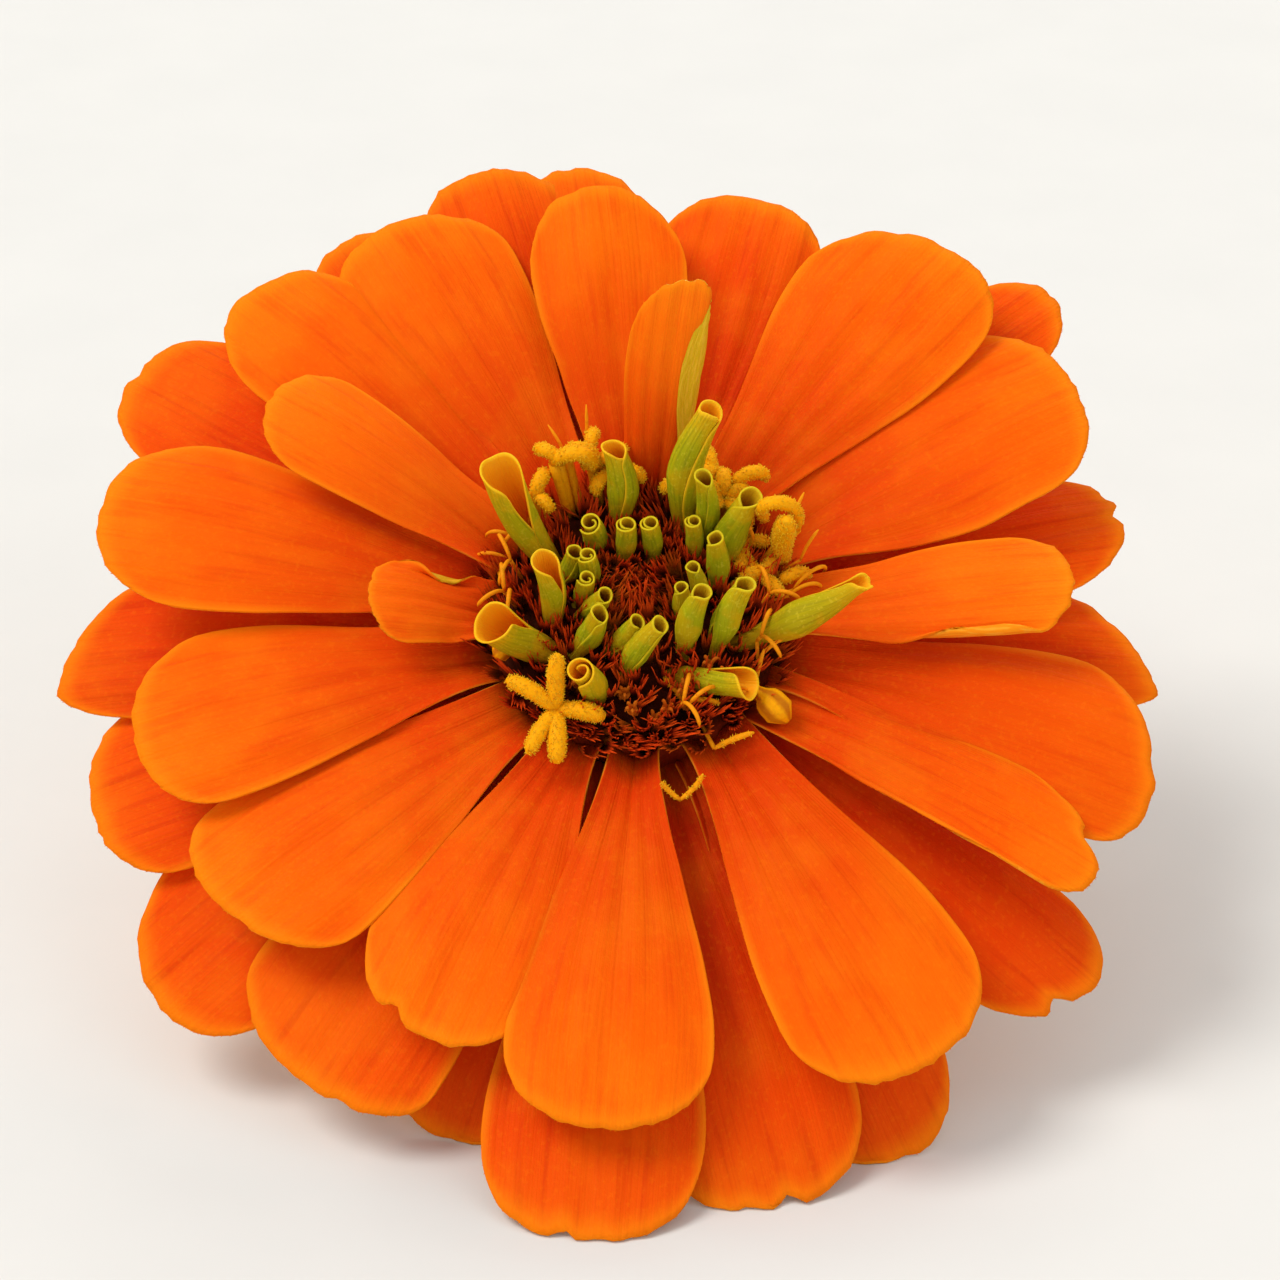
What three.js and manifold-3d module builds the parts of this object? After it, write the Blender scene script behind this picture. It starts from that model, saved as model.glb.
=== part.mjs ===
// A double zinnia bloom, cut with a short stem and laid down the way a picked
// flower comes to rest: on the tips of its front petals and the cut end of the
// stem.  Millimetres.  Every part is drawn in the flower's own frame, where +Z
// is the flower's axis, +X the viewer's right and +Y the back of the head; the
// last group leans the flower over on the ground at z = 0.

import * as THREE from 'three';
import { mergeVertices } from 'three/addons/utils/BufferGeometryUtils.js';
import Module from 'manifold-3d';

const wasm = await Module();
wasm.setup();
const { Manifold, Mesh: Shell } = wasm;

// ---------------------------------------------------------------- dimensions

const LEAN = 30;              // degrees between the flower's axis and upright
const GROUND = -31.3;         // height of the ground, seen from the head's centre
const GAP = 0.3;              // air between neighbouring parts

const PETAL = 0.8;            // thickness of a ray petal
const DISH = 1.0;             // how far a petal's edges hang below its middle
const FULL = 0.8;             // share of its length where a petal is widest
const BLUNT = 2.4;            // squareness of a petal's rounded end
const CLEFT = 0.2;            // half width of a cleft in a petal's tip
const PETAL_STEPS = 4;        // steps along a petal
const PETAL_LANES = [-1, -0.74, 0, 0.74, 1];  // places of the lanes across a petal

// each whorl: the disc that holds its claws, where the claws root and emerge,
// and the width of a claw there
const OUTER = { core: 12.4, low: -2.9, high: -2.2, root: 11.3, rim: 12.5, level: -2.2, claw: 3.9 };
const MIDDLE = { core: 11.7, low: -1.6, high: -0.9, root: 11.5, rim: 12.2, level: 0.0, claw: 4.8 };
const INNER = { core: 10.9, low: -0.6, high: 0.1, root: 10.5, rim: 11.5, level: 1.4, claw: 4.4 };

const FLORET_CORE = { core: 10.2, low: 0.4, high: 1.1 };
const QUILL_CORE = { core: 9.2, low: 1.4, high: 2.1 };

// the domed receptacle, from its rim to its crown: [radius, height]
const DOME_FLOOR = 2.4;
const DOME = [[10.9, 2.7], [8, 3.1], [5, 4.0], [2.5, 4.8], [0, 5.1]];

const CUP_TOP = -3.2;         // rim of the involucre
const CUP_FOOT = -13.2;       // its lowest ring, round the stem
const SOCKET = { radius: 3.2, roof: -11.2 };
const STEM = { top: -11.6, end: -35.1, radius: 2.45, ribs: 8, rib: 0.12 };

// ------------------------------------------------------------ the ray petals
// base: where the claw leaves the head, heading: where the petal points, both
// in degrees counted anticlockwise from the viewer's right.  rise and fall:
// slope of the petal at its base and at its tip.  round: how much of its length
// the rounded end takes.  skew: how much longer the left edge is.  notch: place
// across the tip (-1 to 1) and depth of a small cleft.  full: where it is
// widest, for the petals that broaden early.  blunt and apex: squareness of a
// pointed tip and the place across the petal, -1 to 1, that reaches furthest.

const OUTER_RAYS = [
  { base: 107, heading: 107.3, long: 32.6, wide: 13.1, rise: 26, fall: 2, round: 0.16, skew: 0.8 },
  { base: 96, heading: 98.5, long: 32, wide: 12.5, rise: 25, fall: 2, round: 0.22 },
  { base: 75, heading: 76, long: 29.7, wide: 14.5, rise: 26, fall: 2, round: 0.20 },
  { base: 46, heading: 39.7, long: 35.5, wide: 12, rise: 20, fall: -4, round: 0.38 },
  { base: 16, heading: 14.5, long: 30, wide: 11.8, rise: 12, fall: -8, round: 0.30, skew: 0.8, full: 0.5 },
  { base: -4, heading: 2.5, long: 31, wide: 12.2, rise: 4, fall: -14,
    round: 0.34, blunt: 1.35, apex: -0.7 },
  { base: -46, heading: -37.8, long: 34.9, wide: 12.4, rise: 0, fall: -20,
    round: 0.24, skew: 1.4, notch: [-0.2, 1.0] },
  { base: -66, heading: -62, long: 36.5, wide: 14, rise: -2, fall: -29, round: 0.24 },
  { base: -80, heading: -75.5, long: 37.3, wide: 16.5, rise: 0, fall: -22, round: 0.20, notch: [0.1, 0.8] },
  { base: -96, heading: -94, long: 39.1, wide: 17.5, rise: -2, fall: -12, round: 0.2, notch: [-0.15, 0.7] },
  { base: -109, heading: -111, long: 32.8, wide: 15, rise: -3, fall: -37, round: 0.24 },
  { base: -125, heading: -125.7, long: 33.8, wide: 18.8, rise: 0, fall: -20, round: 0.17, skew: 0.6 },
  { base: -143, heading: -144.3, long: 37.2, wide: 17.2, rise: -2, fall: -24, round: 0.28, skew: 0.6 },
  { base: -157, heading: -166.8, long: 35, wide: 16, rise: 2, fall: -20, round: 0.20 },
  { base: 180, heading: 177.3, long: 36.4, wide: 14.5, rise: 4, fall: -18,
    round: 0.30, blunt: 1.7, apex: 0.6 },
  { base: 158, heading: 146.6, long: 37.9, wide: 14, rise: 14, fall: -10, round: 0.20 },
  { base: 125, heading: 124, long: 33, wide: 13, rise: 20, fall: -4, round: 0.24 },
];

const MIDDLE_RAYS = [
  { base: 92, heading: 96, long: 27.6, wide: 13.5, rise: 34, fall: 6, round: 0.30, skew: 0.8 },
  { base: 57, heading: 49.2, long: 30.7, wide: 17, rise: 30, fall: 2, round: 0.24, skew: -1.6 },
  { base: 34, heading: 26.5, long: 30.3, wide: 16.5, rise: 26, fall: 0, round: 0.24, full: 0.6 },
  { base: -19, heading: -16.8, long: 31.7, wide: 15.5, rise: 12, fall: -14, round: 0.20, skew: -2.2 },
  { base: -36, heading: -29.4, long: 31.2, wide: 9.5, rise: 14, fall: -12,
    round: 0.34, skew: -0.6, blunt: 2, apex: -0.3, notch: [0.3, 1.0] },
  { base: -60, heading: -60, long: 32.8, wide: 17, rise: 10, fall: -16, round: 0.24 },
  { base: -91, heading: -94.5, long: 32, wide: 16, rise: 10, fall: -16, round: 0.20 },
  { base: -114, heading: -115.5, long: 28, wide: 15.5, rise: 10, fall: -16, round: 0.3, notch: [-0.35, 0.9] },
  { base: -137, heading: -144.5, long: 29.5, wide: 16.5, rise: 10, fall: -16, round: 0.20, skew: -1.6 },
  { base: -164, heading: -166, long: 30, wide: 15.5, rise: 14, fall: -12, round: 0.24, skew: 0.6 },
  { base: 170, heading: 167.8, long: 33.4, wide: 15.5, rise: 20, fall: -6, round: 0.24 },
  { base: 140, heading: 138, long: 32.3, wide: 13.5, rise: 26, fall: -2, round: 0.24, skew: 0.6 },
  { base: 118, heading: 121, long: 30.1, wide: 15, rise: 28, fall: 0, round: 0.20, skew: 1.0 },
];

const INNER_RAYS = [
  { base: -1, heading: 2, long: 24.5, wide: 9.5, rise: 22, fall: 0, round: 0.24 },
  { base: 152, heading: 150.5, long: 24.5, wide: 9.5, rise: 34, fall: 4, round: 0.24 },
  { base: 82, heading: 77.5, long: 20.8, wide: 7.5, rise: 74, fall: 52, round: 0.24, skew: -1.4 },
  { base: 181, heading: 184, long: 11.6, wide: 7.5, rise: 40, fall: 16, round: 0.30 },
];

// ------------------------------------------------------------ the young rays
// Rolled quills.  at: angle and radius where a quill leaves the dome, lean: its
// tilt from the flower's axis, toward: the side it tilts to.

const QUILLS = [
  { at: [102, 8.4], lean: 17, toward: 95, long: 8, wide: 2.6 },
  { at: [62, 8.6], lean: 20, toward: 61, long: 13, wide: 2.8 },
  { at: [56, 8.6], lean: 12, toward: 112, long: 5, wide: 2.0 },
  { at: [45, 6.4], lean: 8, toward: 87, long: 4.5, wide: 1.8 },
  { at: [15, 6.6], lean: 11, toward: 99, long: 6, wide: 1.9 },
  { at: [29, 8.6], lean: 18, toward: 46, long: 8, wide: 2.6 },
  { at: [0, 5.1], lean: 18, toward: 124, long: 4, wide: 1.7 },
  { at: [-25, 3.9], lean: 13, toward: 92, long: 3.5, wide: 1.7 },
  { at: [-49, 5.9], lean: 18, toward: 50, long: 7, wide: 2.2 },
  { at: [-34, 7.6], lean: 21, toward: 36, long: 8.5, wide: 2.2 },
  { at: [-23, 8.9], lean: 52, toward: 8, long: 13, wide: 2.3 },
  { at: [-65, 7.3], lean: 62, toward: -23, long: 7.5, wide: 2.5 },
  { at: [-98, 6.5], lean: 26, toward: 18, long: 7, wide: 2.1 },
  { at: [-115, 5.1], lean: 27, toward: 5, long: 5, wide: 1.8 },
  { at: [-163, 4.6], lean: 26, toward: -15, long: 4.5, wide: 1.8 },
  { at: [178, 5.0], lean: 12, toward: 170, long: 4, wide: 1.8 },
  { at: [-138, 6.5], lean: 21, toward: 16, long: 5.5, wide: 2.1 },
  { at: [-167, 7.1], lean: 12, toward: 108, long: 7.5, wide: 2.3 },
  { at: [157, 6.7], lean: 8, toward: 100, long: 4.5, wide: 1.8 },
  { at: [140, 4.4], lean: 7, toward: 60, long: 4, wide: 1.7 },
  { at: [121, 6.4], lean: 9, toward: -149, long: 4.5, wide: 1.8 },
  { at: [101, 5.5], lean: 10, toward: 90, long: 4, wide: 1.7 },
  { at: [68, 5.4], lean: 10, toward: 90, long: 4, wide: 1.7 },
  { at: [148, 8.4], lean: 26, toward: 143, long: 11, wide: 3.2 },
  { at: [-151, 8.5], lean: 37, toward: -174, long: 7, wide: 3.2 },
  { at: [-112, 8.8], lean: 16, toward: -150, long: 5.5, wide: 2.8 },
];

const MOUTH_WALL = 0.62;      // wall of a quill round its open mouth
const RISER = 0.5;            // radius of a quill or floret where it passes the dome
const QUILL_SIDES = 5;

// ------------------------------------------------------------ the disc florets

const FLORET_RING = 9.82;     // radius of the ring that the florets root on
const FLORET_STALK = 0.38;    // half width of a floret where it passes the dome
const THROAT = 0.75;          // half width of a floret's throat
const COLLAR = 0.7;           // height above the dome's floor where a floret opens
const FLORETS = [14, 33, 50, 66, 99, 113, 128, 222, 238, 322];
const FLORET_TUBE = 3.0;      // length of a floret's tube above the chaff
const LOBES = 4;
const LOBE = { long: 2.9, wide: 0.8, thick: 0.5, start: 0.35 };
const STYLES = [
  { at: 0, turn: 40 }, { at: 41, turn: -30 }, { at: 145, turn: 10 },
  { at: 163, turn: 20 }, { at: 179, turn: -20 },
  { at: 192, turn: -50 }, { at: 290, turn: 80 }, { at: 306, turn: -20 }, { at: 338, turn: 30 },
];
const STYLE = { long: 3.2, thick: 0.4 };

const PALEA_REACH = 9;        // the outermost of them
const PALEAE = 30;            // places for chaffy scales on the dome
const CLEAR = 1.5;            // no scale stands nearer than this to a quill
const BRACT_ROWS = [
  { count: 8, level: -11.6, long: 5.0, wide: 5.4 },
  { count: 9, level: -9.6, long: 5.4, wide: 6.0 },
  { count: 10, level: -7.4, long: 4.9, wide: 6.6 },
];
const BRACT = 1.4;            // thickness of a bract

// -------------------------------------------------------------------- helpers

const rad = THREE.MathUtils.degToRad;
const mix = THREE.MathUtils.lerp;

/** A small repeatable source of chance between 0 and 1. */
function dice(seed) {
  let state = seed;
  return () => {
    state = (state * 1664525 + 1013904223) % 4294967296;
    return state / 4294967296;
  };
}

/** Point at an angle (degrees), a radius and a height round the flower's axis. */
function ringPoint(angle, radius, height) {
  return new THREE.Vector3(radius * Math.cos(rad(angle)), radius * Math.sin(rad(angle)), height);
}

/** Turns a closed three.js geometry into a solid that can be joined and cut. */
function solid(geometry) {
  const bare = geometry.clone();
  bare.deleteAttribute('normal');
  bare.deleteAttribute('uv');
  const welded = mergeVertices(bare, 1e-4);
  const shell = new Shell({
    numProp: 3,
    vertProperties: new Float32Array(welded.attributes.position.array),
    triVerts: new Uint32Array(welded.index.array),
  });
  return new Manifold(shell);
}

/** Joins a list of solids into one. */
function fuse(list) {
  return Manifold.union(list);
}

/** A named mesh made from a solid. */
function meshOf(body, name, colour, roughness) {
  const shell = body.getMesh();
  const geometry = new THREE.BufferGeometry();
  geometry.setAttribute('position', new THREE.BufferAttribute(new Float32Array(shell.vertProperties), 3));
  geometry.setIndex(new THREE.BufferAttribute(new Uint32Array(shell.triVerts), 1));
  geometry.computeVertexNormals();
  const material = new THREE.MeshStandardMaterial({ color: colour, roughness, metalness: 0 });
  const mesh = new THREE.Mesh(geometry, material);
  mesh.name = name;
  return mesh;
}

/** Closed geometry from a list of points and triangles of point numbers. */
function closed(points, faces) {
  const geometry = new THREE.BufferGeometry();
  const flat = points.flatMap((point) => [point.x, point.y, point.z]);
  geometry.setAttribute('position', new THREE.Float32BufferAttribute(flat, 3));
  geometry.setIndex(faces.flat());
  return geometry;
}

/** Unit normal of a grid of points at one of its nodes. */
function gridNormal(grid, i, j) {
  const rows = grid.length - 1;
  const lanes = grid[0].length - 1;
  const along = grid[Math.min(i + 1, rows)][j].clone().sub(grid[Math.max(i - 1, 0)][j]);
  const across = grid[i][Math.min(j + 1, lanes)].clone().sub(grid[i][Math.max(j - 1, 0)]);
  return along.cross(across).normalize();
}

/** A thin solid blade round a grid of points, split alike on both faces. */
function blade(grid, thickness) {
  const rows = grid.length;
  const lanes = grid[0].length;
  const points = [];
  for (const side of [0.5, -0.5]) {
    for (let i = 0; i < rows; i += 1) {
      for (let j = 0; j < lanes; j += 1) {
        const normal = gridNormal(grid, i, j);
        points.push(grid[i][j].clone().addScaledVector(normal, side * thickness));
      }
    }
  }
  const top = (i, j) => i * lanes + j;
  const under = (i, j) => rows * lanes + i * lanes + j;
  const faces = [];
  for (let i = 0; i < rows - 1; i += 1) {
    for (let j = 0; j < lanes - 1; j += 1) {
      faces.push([top(i, j), top(i + 1, j), top(i + 1, j + 1)]);
      faces.push([top(i, j), top(i + 1, j + 1), top(i, j + 1)]);
      faces.push([under(i, j), under(i + 1, j + 1), under(i + 1, j)]);
      faces.push([under(i, j), under(i, j + 1), under(i + 1, j + 1)]);
    }
  }
  const edge = [];
  for (let j = 0; j < lanes - 1; j += 1) edge.push([0, j]);
  for (let i = 0; i < rows - 1; i += 1) edge.push([i, lanes - 1]);
  for (let j = lanes - 1; j > 0; j -= 1) edge.push([rows - 1, j]);
  for (let i = rows - 1; i > 0; i -= 1) edge.push([i, 0]);
  edge.forEach(([i, j], k) => {
    const [m, n] = edge[(k + 1) % edge.length];
    faces.push([top(i, j), top(m, n), under(m, n)]);
    faces.push([top(i, j), under(m, n), under(i, j)]);
  });
  return closed(points, faces);
}

/** Rings of points round a path; each stop has a centre, half width and half thickness. */
function ringsAlong(stops, sides, broad) {
  return stops.map((stop, k) => {
    const before = stops[Math.max(k - 1, 0)].centre;
    const after = stops[Math.min(k + 1, stops.length - 1)].centre;
    const along = after.clone().sub(before).normalize();
    const across = broad.clone().addScaledVector(along, -broad.dot(along)).normalize();
    const up = along.clone().cross(across);
    const ring = [];
    for (let s = 0; s < sides; s += 1) {
      const angle = (2 * Math.PI * s) / sides;
      const reach = stop.slant ? stop.slant * Math.cos(angle) : 0;
      const point = stop.centre.clone();
      point.addScaledVector(across, stop.wide * Math.cos(angle));
      point.addScaledVector(up, stop.thick * Math.sin(angle));
      point.addScaledVector(along, reach);
      ring.push(point);
    }
    return ring;
  });
}

/** A closed limb through rings of points, capped at its two ends. */
function limb(rings) {
  const sides = rings[0].length;
  const points = rings.flat();
  const faces = [];
  for (let k = 0; k < rings.length - 1; k += 1) {
    for (let s = 0; s < sides; s += 1) {
      const here = k * sides + s;
      const next = k * sides + ((s + 1) % sides);
      faces.push([here, next, next + sides]);
      faces.push([here, next + sides, here + sides]);
    }
  }
  const last = (rings.length - 1) * sides;
  for (let s = 1; s < sides - 1; s += 1) {
    faces.push([0, s + 1, s]);
    faces.push([last, last + s, last + s + 1]);
  }
  return closed(points, faces);
}

/** A prism round a path that clears a round limb on it by the gap. */
function sleeve(stops, sides, broad) {
  const wider = (size) => (size + GAP) / Math.cos(Math.PI / sides);
  const loose = stops.map(({ centre, wide, thick }) => ({ centre, wide: wider(wide), thick: wider(thick) }));
  return solid(limb(ringsAlong(loose, sides, broad)));
}

/** The largest single piece of a solid, without the loose scraps of a cut. */
function largest(body) {
  const pieces = body.decompose();
  return pieces.reduce((best, piece) => (piece.volume() > best.volume() ? piece : best));
}

/** Height of the dome at a radius. */
function domeHeight(radius) {
  for (let k = 0; k < DOME.length - 1; k += 1) {
    const [outer, low] = DOME[k];
    const [inner, high] = DOME[k + 1];
    if (radius <= outer && radius >= inner) {
      return mix(high, low, (radius - inner) / (outer - inner));
    }
  }
  return DOME[0][1];
}

/** The flat disc in the head that holds the roots of one ring of parts. */
function coreDisc({ core, low, high }) {
  const disc = new THREE.CylinderGeometry(core, core, high - low, 18);
  disc.rotateX(Math.PI / 2);
  disc.translate(0, 0, (low + high) / 2);
  return solid(disc);
}

// ----------------------------------------------------------------- ray petals

/** How far a petal reaches along a lane, from -1 (right edge) to 1 (left edge). */
function petalReach(ray, lane) {
  const apex = ray.apex ?? 0;
  const away = Math.abs(lane - apex) / (1 + apex * Math.sign(apex - lane));
  const shoulder = 1 - Math.sqrt(1 - away ** (ray.blunt ?? BLUNT));
  let reach = ray.long * (1 - ray.round * shoulder) + (ray.skew ?? 0) * lane;
  if (ray.notch) {
    const [place, depth] = ray.notch;
    reach -= depth * Math.exp(-(((lane - place) / CLEFT) ** 2));
  }
  return reach;
}

/** The middle surface of a ray petal, a grid of points from its root to its tip. */
function petalGrid(ray, whorl) {
  const rise = rad(ray.rise);
  const turn = rad(ray.fall - ray.rise);
  const start = ringPoint(ray.base, whorl.rim, whorl.level);
  const outward = ringPoint(ray.heading, 1, 0);
  const sideways = ringPoint(ray.heading + 90, 1, 0);
  const grid = [];
  for (let i = -1; i <= PETAL_STEPS; i += 1) {
    const row = [];
    for (const lane of PETAL_LANES) {
      if (i < 0) {
        const root = ringPoint(ray.base, whorl.root, (whorl.low + whorl.high) / 2);
        row.push(root.addScaledVector(sideways, (lane * whorl.claw) / 2.2));
        continue;
      }
      const share = (i / PETAL_STEPS) * (petalReach(ray, lane) / ray.long);
      const spread = THREE.MathUtils.smoothstep(share / (ray.full ?? FULL), 0, 1) ** 0.85;
      const fullness = mix(whorl.claw / ray.wide, 1, spread);
      const dish = -DISH * lane * lane * fullness * THREE.MathUtils.smoothstep(share, 0, 0.4);
      const slope = rise + turn * share;
      const run = (ray.long / turn) * (Math.sin(slope) - Math.sin(rise));
      const climb = (-ray.long / turn) * (Math.cos(slope) - Math.cos(rise));
      const point = start.clone();
      point.addScaledVector(outward, run - dish * Math.sin(slope));
      point.addScaledVector(sideways, (lane * ray.wide * fullness) / 2);
      point.z += climb + dish * Math.cos(slope);
      row.push(point);
    }
    grid.push(row);
  }
  return grid;
}

/** One whorl of ray petals, their claws sunk in the disc that holds them. */
function whorlOfRays(rays, whorl) {
  const petals = rays.map((ray) => solid(blade(petalGrid(ray, whorl), PETAL)));
  return fuse([coreDisc(whorl), ...petals]);
}

// ----------------------------------------------------------------- young rays

/** The path of a quill from the disc that holds it to its mouth. */
function quillPath(quill) {
  const [angle, radius] = quill.at;
  const foot = ringPoint(angle, radius, domeHeight(radius));
  const tilt = ringPoint(quill.toward, Math.sin(rad(quill.lean)), Math.cos(rad(quill.lean)));
  const held = Math.min(radius, QUILL_CORE.core - 0.7);
  const root = ringPoint(angle, held, (QUILL_CORE.low + QUILL_CORE.high) / 2);
  const neck = foot.clone().addScaledVector(tilt, 0.3);
  const half = quill.wide / 2;
  const stops = [
    { centre: root, wide: RISER, thick: RISER },
    { centre: neck, wide: RISER + 0.12, thick: RISER + 0.12 },
  ];
  for (const [share, size] of [[0.45, 0.86], [1, 1]]) {
    const centre = foot.clone().addScaledVector(tilt, quill.long * share);
    stops.push({ centre, wide: half * size, thick: half * size });
  }
  return { stops, tilt, half };
}

/** One rolled young ray with a slanting open mouth. */
function quillBody(quill) {
  const { stops, tilt, half } = quillPath(quill);
  const broad = ringPoint(quill.toward, 1, 0).addScaledVector(tilt, 0.01);
  const mouth = stops[stops.length - 1];
  mouth.slant = -0.35 * half;
  const outside = solid(limb(ringsAlong(stops, QUILL_SIDES, broad)));
  const bore = half - MOUTH_WALL;
  const deep = mouth.centre.clone().addScaledVector(tilt, -0.3 * quill.long);
  const above = mouth.centre.clone().addScaledVector(tilt, 1.5);
  const hollow = [
    { centre: deep, wide: bore * 0.8, thick: bore * 0.8 },
    { centre: above, wide: bore * 1.1, thick: bore * 1.1 },
  ];
  if (bore < 0.22) {
    return outside;
  }
  return outside.subtract(solid(limb(ringsAlong(hollow, QUILL_SIDES, broad))));
}

/** The room that the quills take up, a gap wider all round. */
function quillRoom() {
  const across = new THREE.Vector3(1, 0.2, 0);
  return QUILLS.map((quill) => sleeve(quillPath(quill).stops, 4, across));
}

/** The ring of green quills round the centre. */
function youngRays() {
  return fuse([coreDisc(QUILL_CORE), ...QUILLS.map(quillBody)]);
}

// --------------------------------------------------------------- disc florets

/** The path of a floret's tube, from its root to the throat. */
function floretPath(angle, chance) {
  const lift = FLORET_TUBE - 0.6 + 0.7 * chance();
  const reach = 0.9 + 0.7 * chance();
  const root = ringPoint(angle, FLORET_RING, (FLORET_CORE.low + FLORET_CORE.high) / 2);
  const neck = ringPoint(angle, FLORET_RING, DOME_FLOOR + COLLAR);
  const throat = ringPoint(angle, FLORET_RING + reach, neck.z + lift);
  return [
    { centre: root, wide: FLORET_STALK, thick: FLORET_STALK },
    { centre: neck, wide: FLORET_STALK, thick: FLORET_STALK },
    { centre: throat, wide: THROAT, thick: THROAT },
  ];
}

/** One curled lobe of a floret, from the throat outward. */
function lobe(throat, turn, lift, length) {
  const outward = ringPoint(turn, 1, 0);
  const stops = [];
  for (const [share, size] of [[0, 0.85], [0.55, 1], [1, 0.6]]) {
    const curl = share * share;
    const centre = throat.clone();
    centre.addScaledVector(outward, LOBE.start + length * (share * 0.85 - 0.12 * curl));
    centre.z += length * (lift * share - 0.75 * curl * curl) - 0.25;
    stops.push({ centre, wide: LOBE.wide * size, thick: LOBE.thick * size });
  }
  return solid(limb(ringsAlong(stops, 3, ringPoint(turn + 90, 1, 0))));
}

/** One lobed disc floret. */
function floret(angle, seed) {
  const chance = dice(seed);
  const path = floretPath(angle, chance);
  const tube = solid(limb(ringsAlong(path, 5, ringPoint(angle + 90, 1, 0))));
  const throat = path[2].centre;
  const start = angle + 360 * chance();
  const lobes = [];
  for (let k = 0; k < LOBES; k += 1) {
    const turn = start + (360 * k) / LOBES + 20 * (chance() - 0.5);
    const length = LOBE.long * (0.8 + 0.4 * chance());
    lobes.push(lobe(throat, turn, 0.45 + 0.35 * chance(), length));
  }
  return fuse([tube, ...lobes]);
}

/** A forked style: a thin stalk with two curled branches. */
function style({ at, turn }) {
  const root = ringPoint(at, FLORET_RING, (FLORET_CORE.low + FLORET_CORE.high) / 2);
  const fork = ringPoint(at, FLORET_RING + 0.9, DOME_FLOOR + 2.6);
  const stalk = [root, ringPoint(at, FLORET_RING, DOME_FLOOR + COLLAR), fork];
  const thin = (centre) => ({ centre, wide: STYLE.thick, thick: STYLE.thick });
  const arms = [-1, 1].map((side) => {
    const outward = ringPoint(at + turn + side * 55, 1, 0);
    const points = [0, 0.5, 1].map((share) => {
      const point = fork.clone().addScaledVector(outward, STYLE.long * share * 0.8);
      point.z += STYLE.long * (0.7 * share - 0.6 * share * share) - 0.1;
      return point;
    });
    return solid(limb(ringsAlong(points.map(thin), 3, ringPoint(at + turn + 90, 1, 0.2))));
  });
  return fuse([solid(limb(ringsAlong(stalk.map(thin), 3, ringPoint(at + 90, 1, 0)))), ...arms]);
}

/** The yellow florets and styles round the rim of the disc. */
function discFlorets() {
  const florets = FLORETS.map((angle, k) => floret(angle, 11 + 7 * k));
  const whole = fuse([coreDisc(FLORET_CORE), ...florets, ...STYLES.map(style)]);
  return largest(whole.subtract(fuse(quillRoom())));
}

// ---------------------------------------------------------------------- chaff

/** One pointed chaffy scale, standing on the dome. */
function palea(angle, radius, tall, tilt) {
  const foot = ringPoint(angle, radius, Math.max(domeHeight(radius) - 0.5, DOME_FLOOR + 0.05));
  const tip = ringPoint(angle, radius + tilt, domeHeight(radius) + tall);
  const stops = [
    { centre: foot, wide: 0.85, thick: 0.55 },
    { centre: tip, wide: 0.36, thick: 0.36 },
  ];
  return solid(limb(ringsAlong(stops, 3, ringPoint(angle + 90, 1, 0))));
}

/** The domed receptacle with its chaff, opened round everything that grows through it. */
function chaff() {
  const chance = dice(5);
  const profile = [new THREE.Vector2(0, DOME_FLOOR), new THREE.Vector2(DOME[0][0], DOME_FLOOR)];
  DOME.forEach(([radius, height]) => profile.push(new THREE.Vector2(radius, height)));
  const dome = new THREE.LatheGeometry(profile, 16);
  dome.rotateX(Math.PI / 2);
  const scales = [];
  for (let k = 0; k < PALEAE; k += 1) {
    const radius = PALEA_REACH * Math.sqrt((k + 0.5) / PALEAE);
    const angle = 137.5 * k + 8 * chance();
    const spot = ringPoint(angle, radius, 0);
    if (QUILLS.some(({ at }) => ringPoint(at[0], at[1], 0).distanceTo(spot) < CLEAR)) {
      continue;
    }
    const tall = radius < 6.5 ? 1.2 + 0.9 * chance() : 0.9;
    scales.push(palea(angle, radius, tall, 0.2 + 0.4 * chance()));
  }
  const tubes = FLORETS.map((angle, k) => {
    return sleeve(floretPath(angle, dice(11 + 7 * k)), 4, ringPoint(angle + 90, 1, 0));
  });
  const stalks = STYLES.map(({ at }) => {
    const under = ringPoint(at, FLORET_RING, DOME_FLOOR - 1);
    const over = ringPoint(at, FLORET_RING + 0.3, DOME_FLOOR + 4);
    const stops = [under, over].map((centre) => ({ centre, wide: STYLE.thick, thick: STYLE.thick }));
    return sleeve(stops, 4, ringPoint(at + 90, 1, 0));
  });
  return largest(fuse([solid(dome), ...scales]).subtract(fuse([...quillRoom(), ...tubes, ...stalks])));
}

// ------------------------------------------------------- involucre and stem

/** Radius of the green cup at a height. */
function cupRadius(height) {
  const share = (height - CUP_FOOT) / (CUP_TOP - CUP_FOOT);
  return 4.1 + 7.3 * Math.sqrt(Math.max(share, 0)) - 0.3 * share;
}

/** One rounded bract, lying on the cup with its edge a little free. */
function bract(angle, row) {
  const grid = [];
  for (let i = 0; i <= 3; i += 1) {
    const share = i / 3;
    const height = row.level - 1.2 + row.long * share;
    const away = cupRadius(height) - 0.15 + 0.2 * share;
    const half = (row.wide / 2) * [0.7, 1, 0.95, 0.5][i];
    const points = [];
    for (let j = 0; j <= 2; j += 1) {
      const lane = j - 1;
      const turn = THREE.MathUtils.radToDeg((lane * half) / away);
      points.push(ringPoint(angle + turn, away, height - 0.5 * lane * lane * share));
    }
    grid.push(points);
  }
  return solid(blade(grid, BRACT));
}

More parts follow.
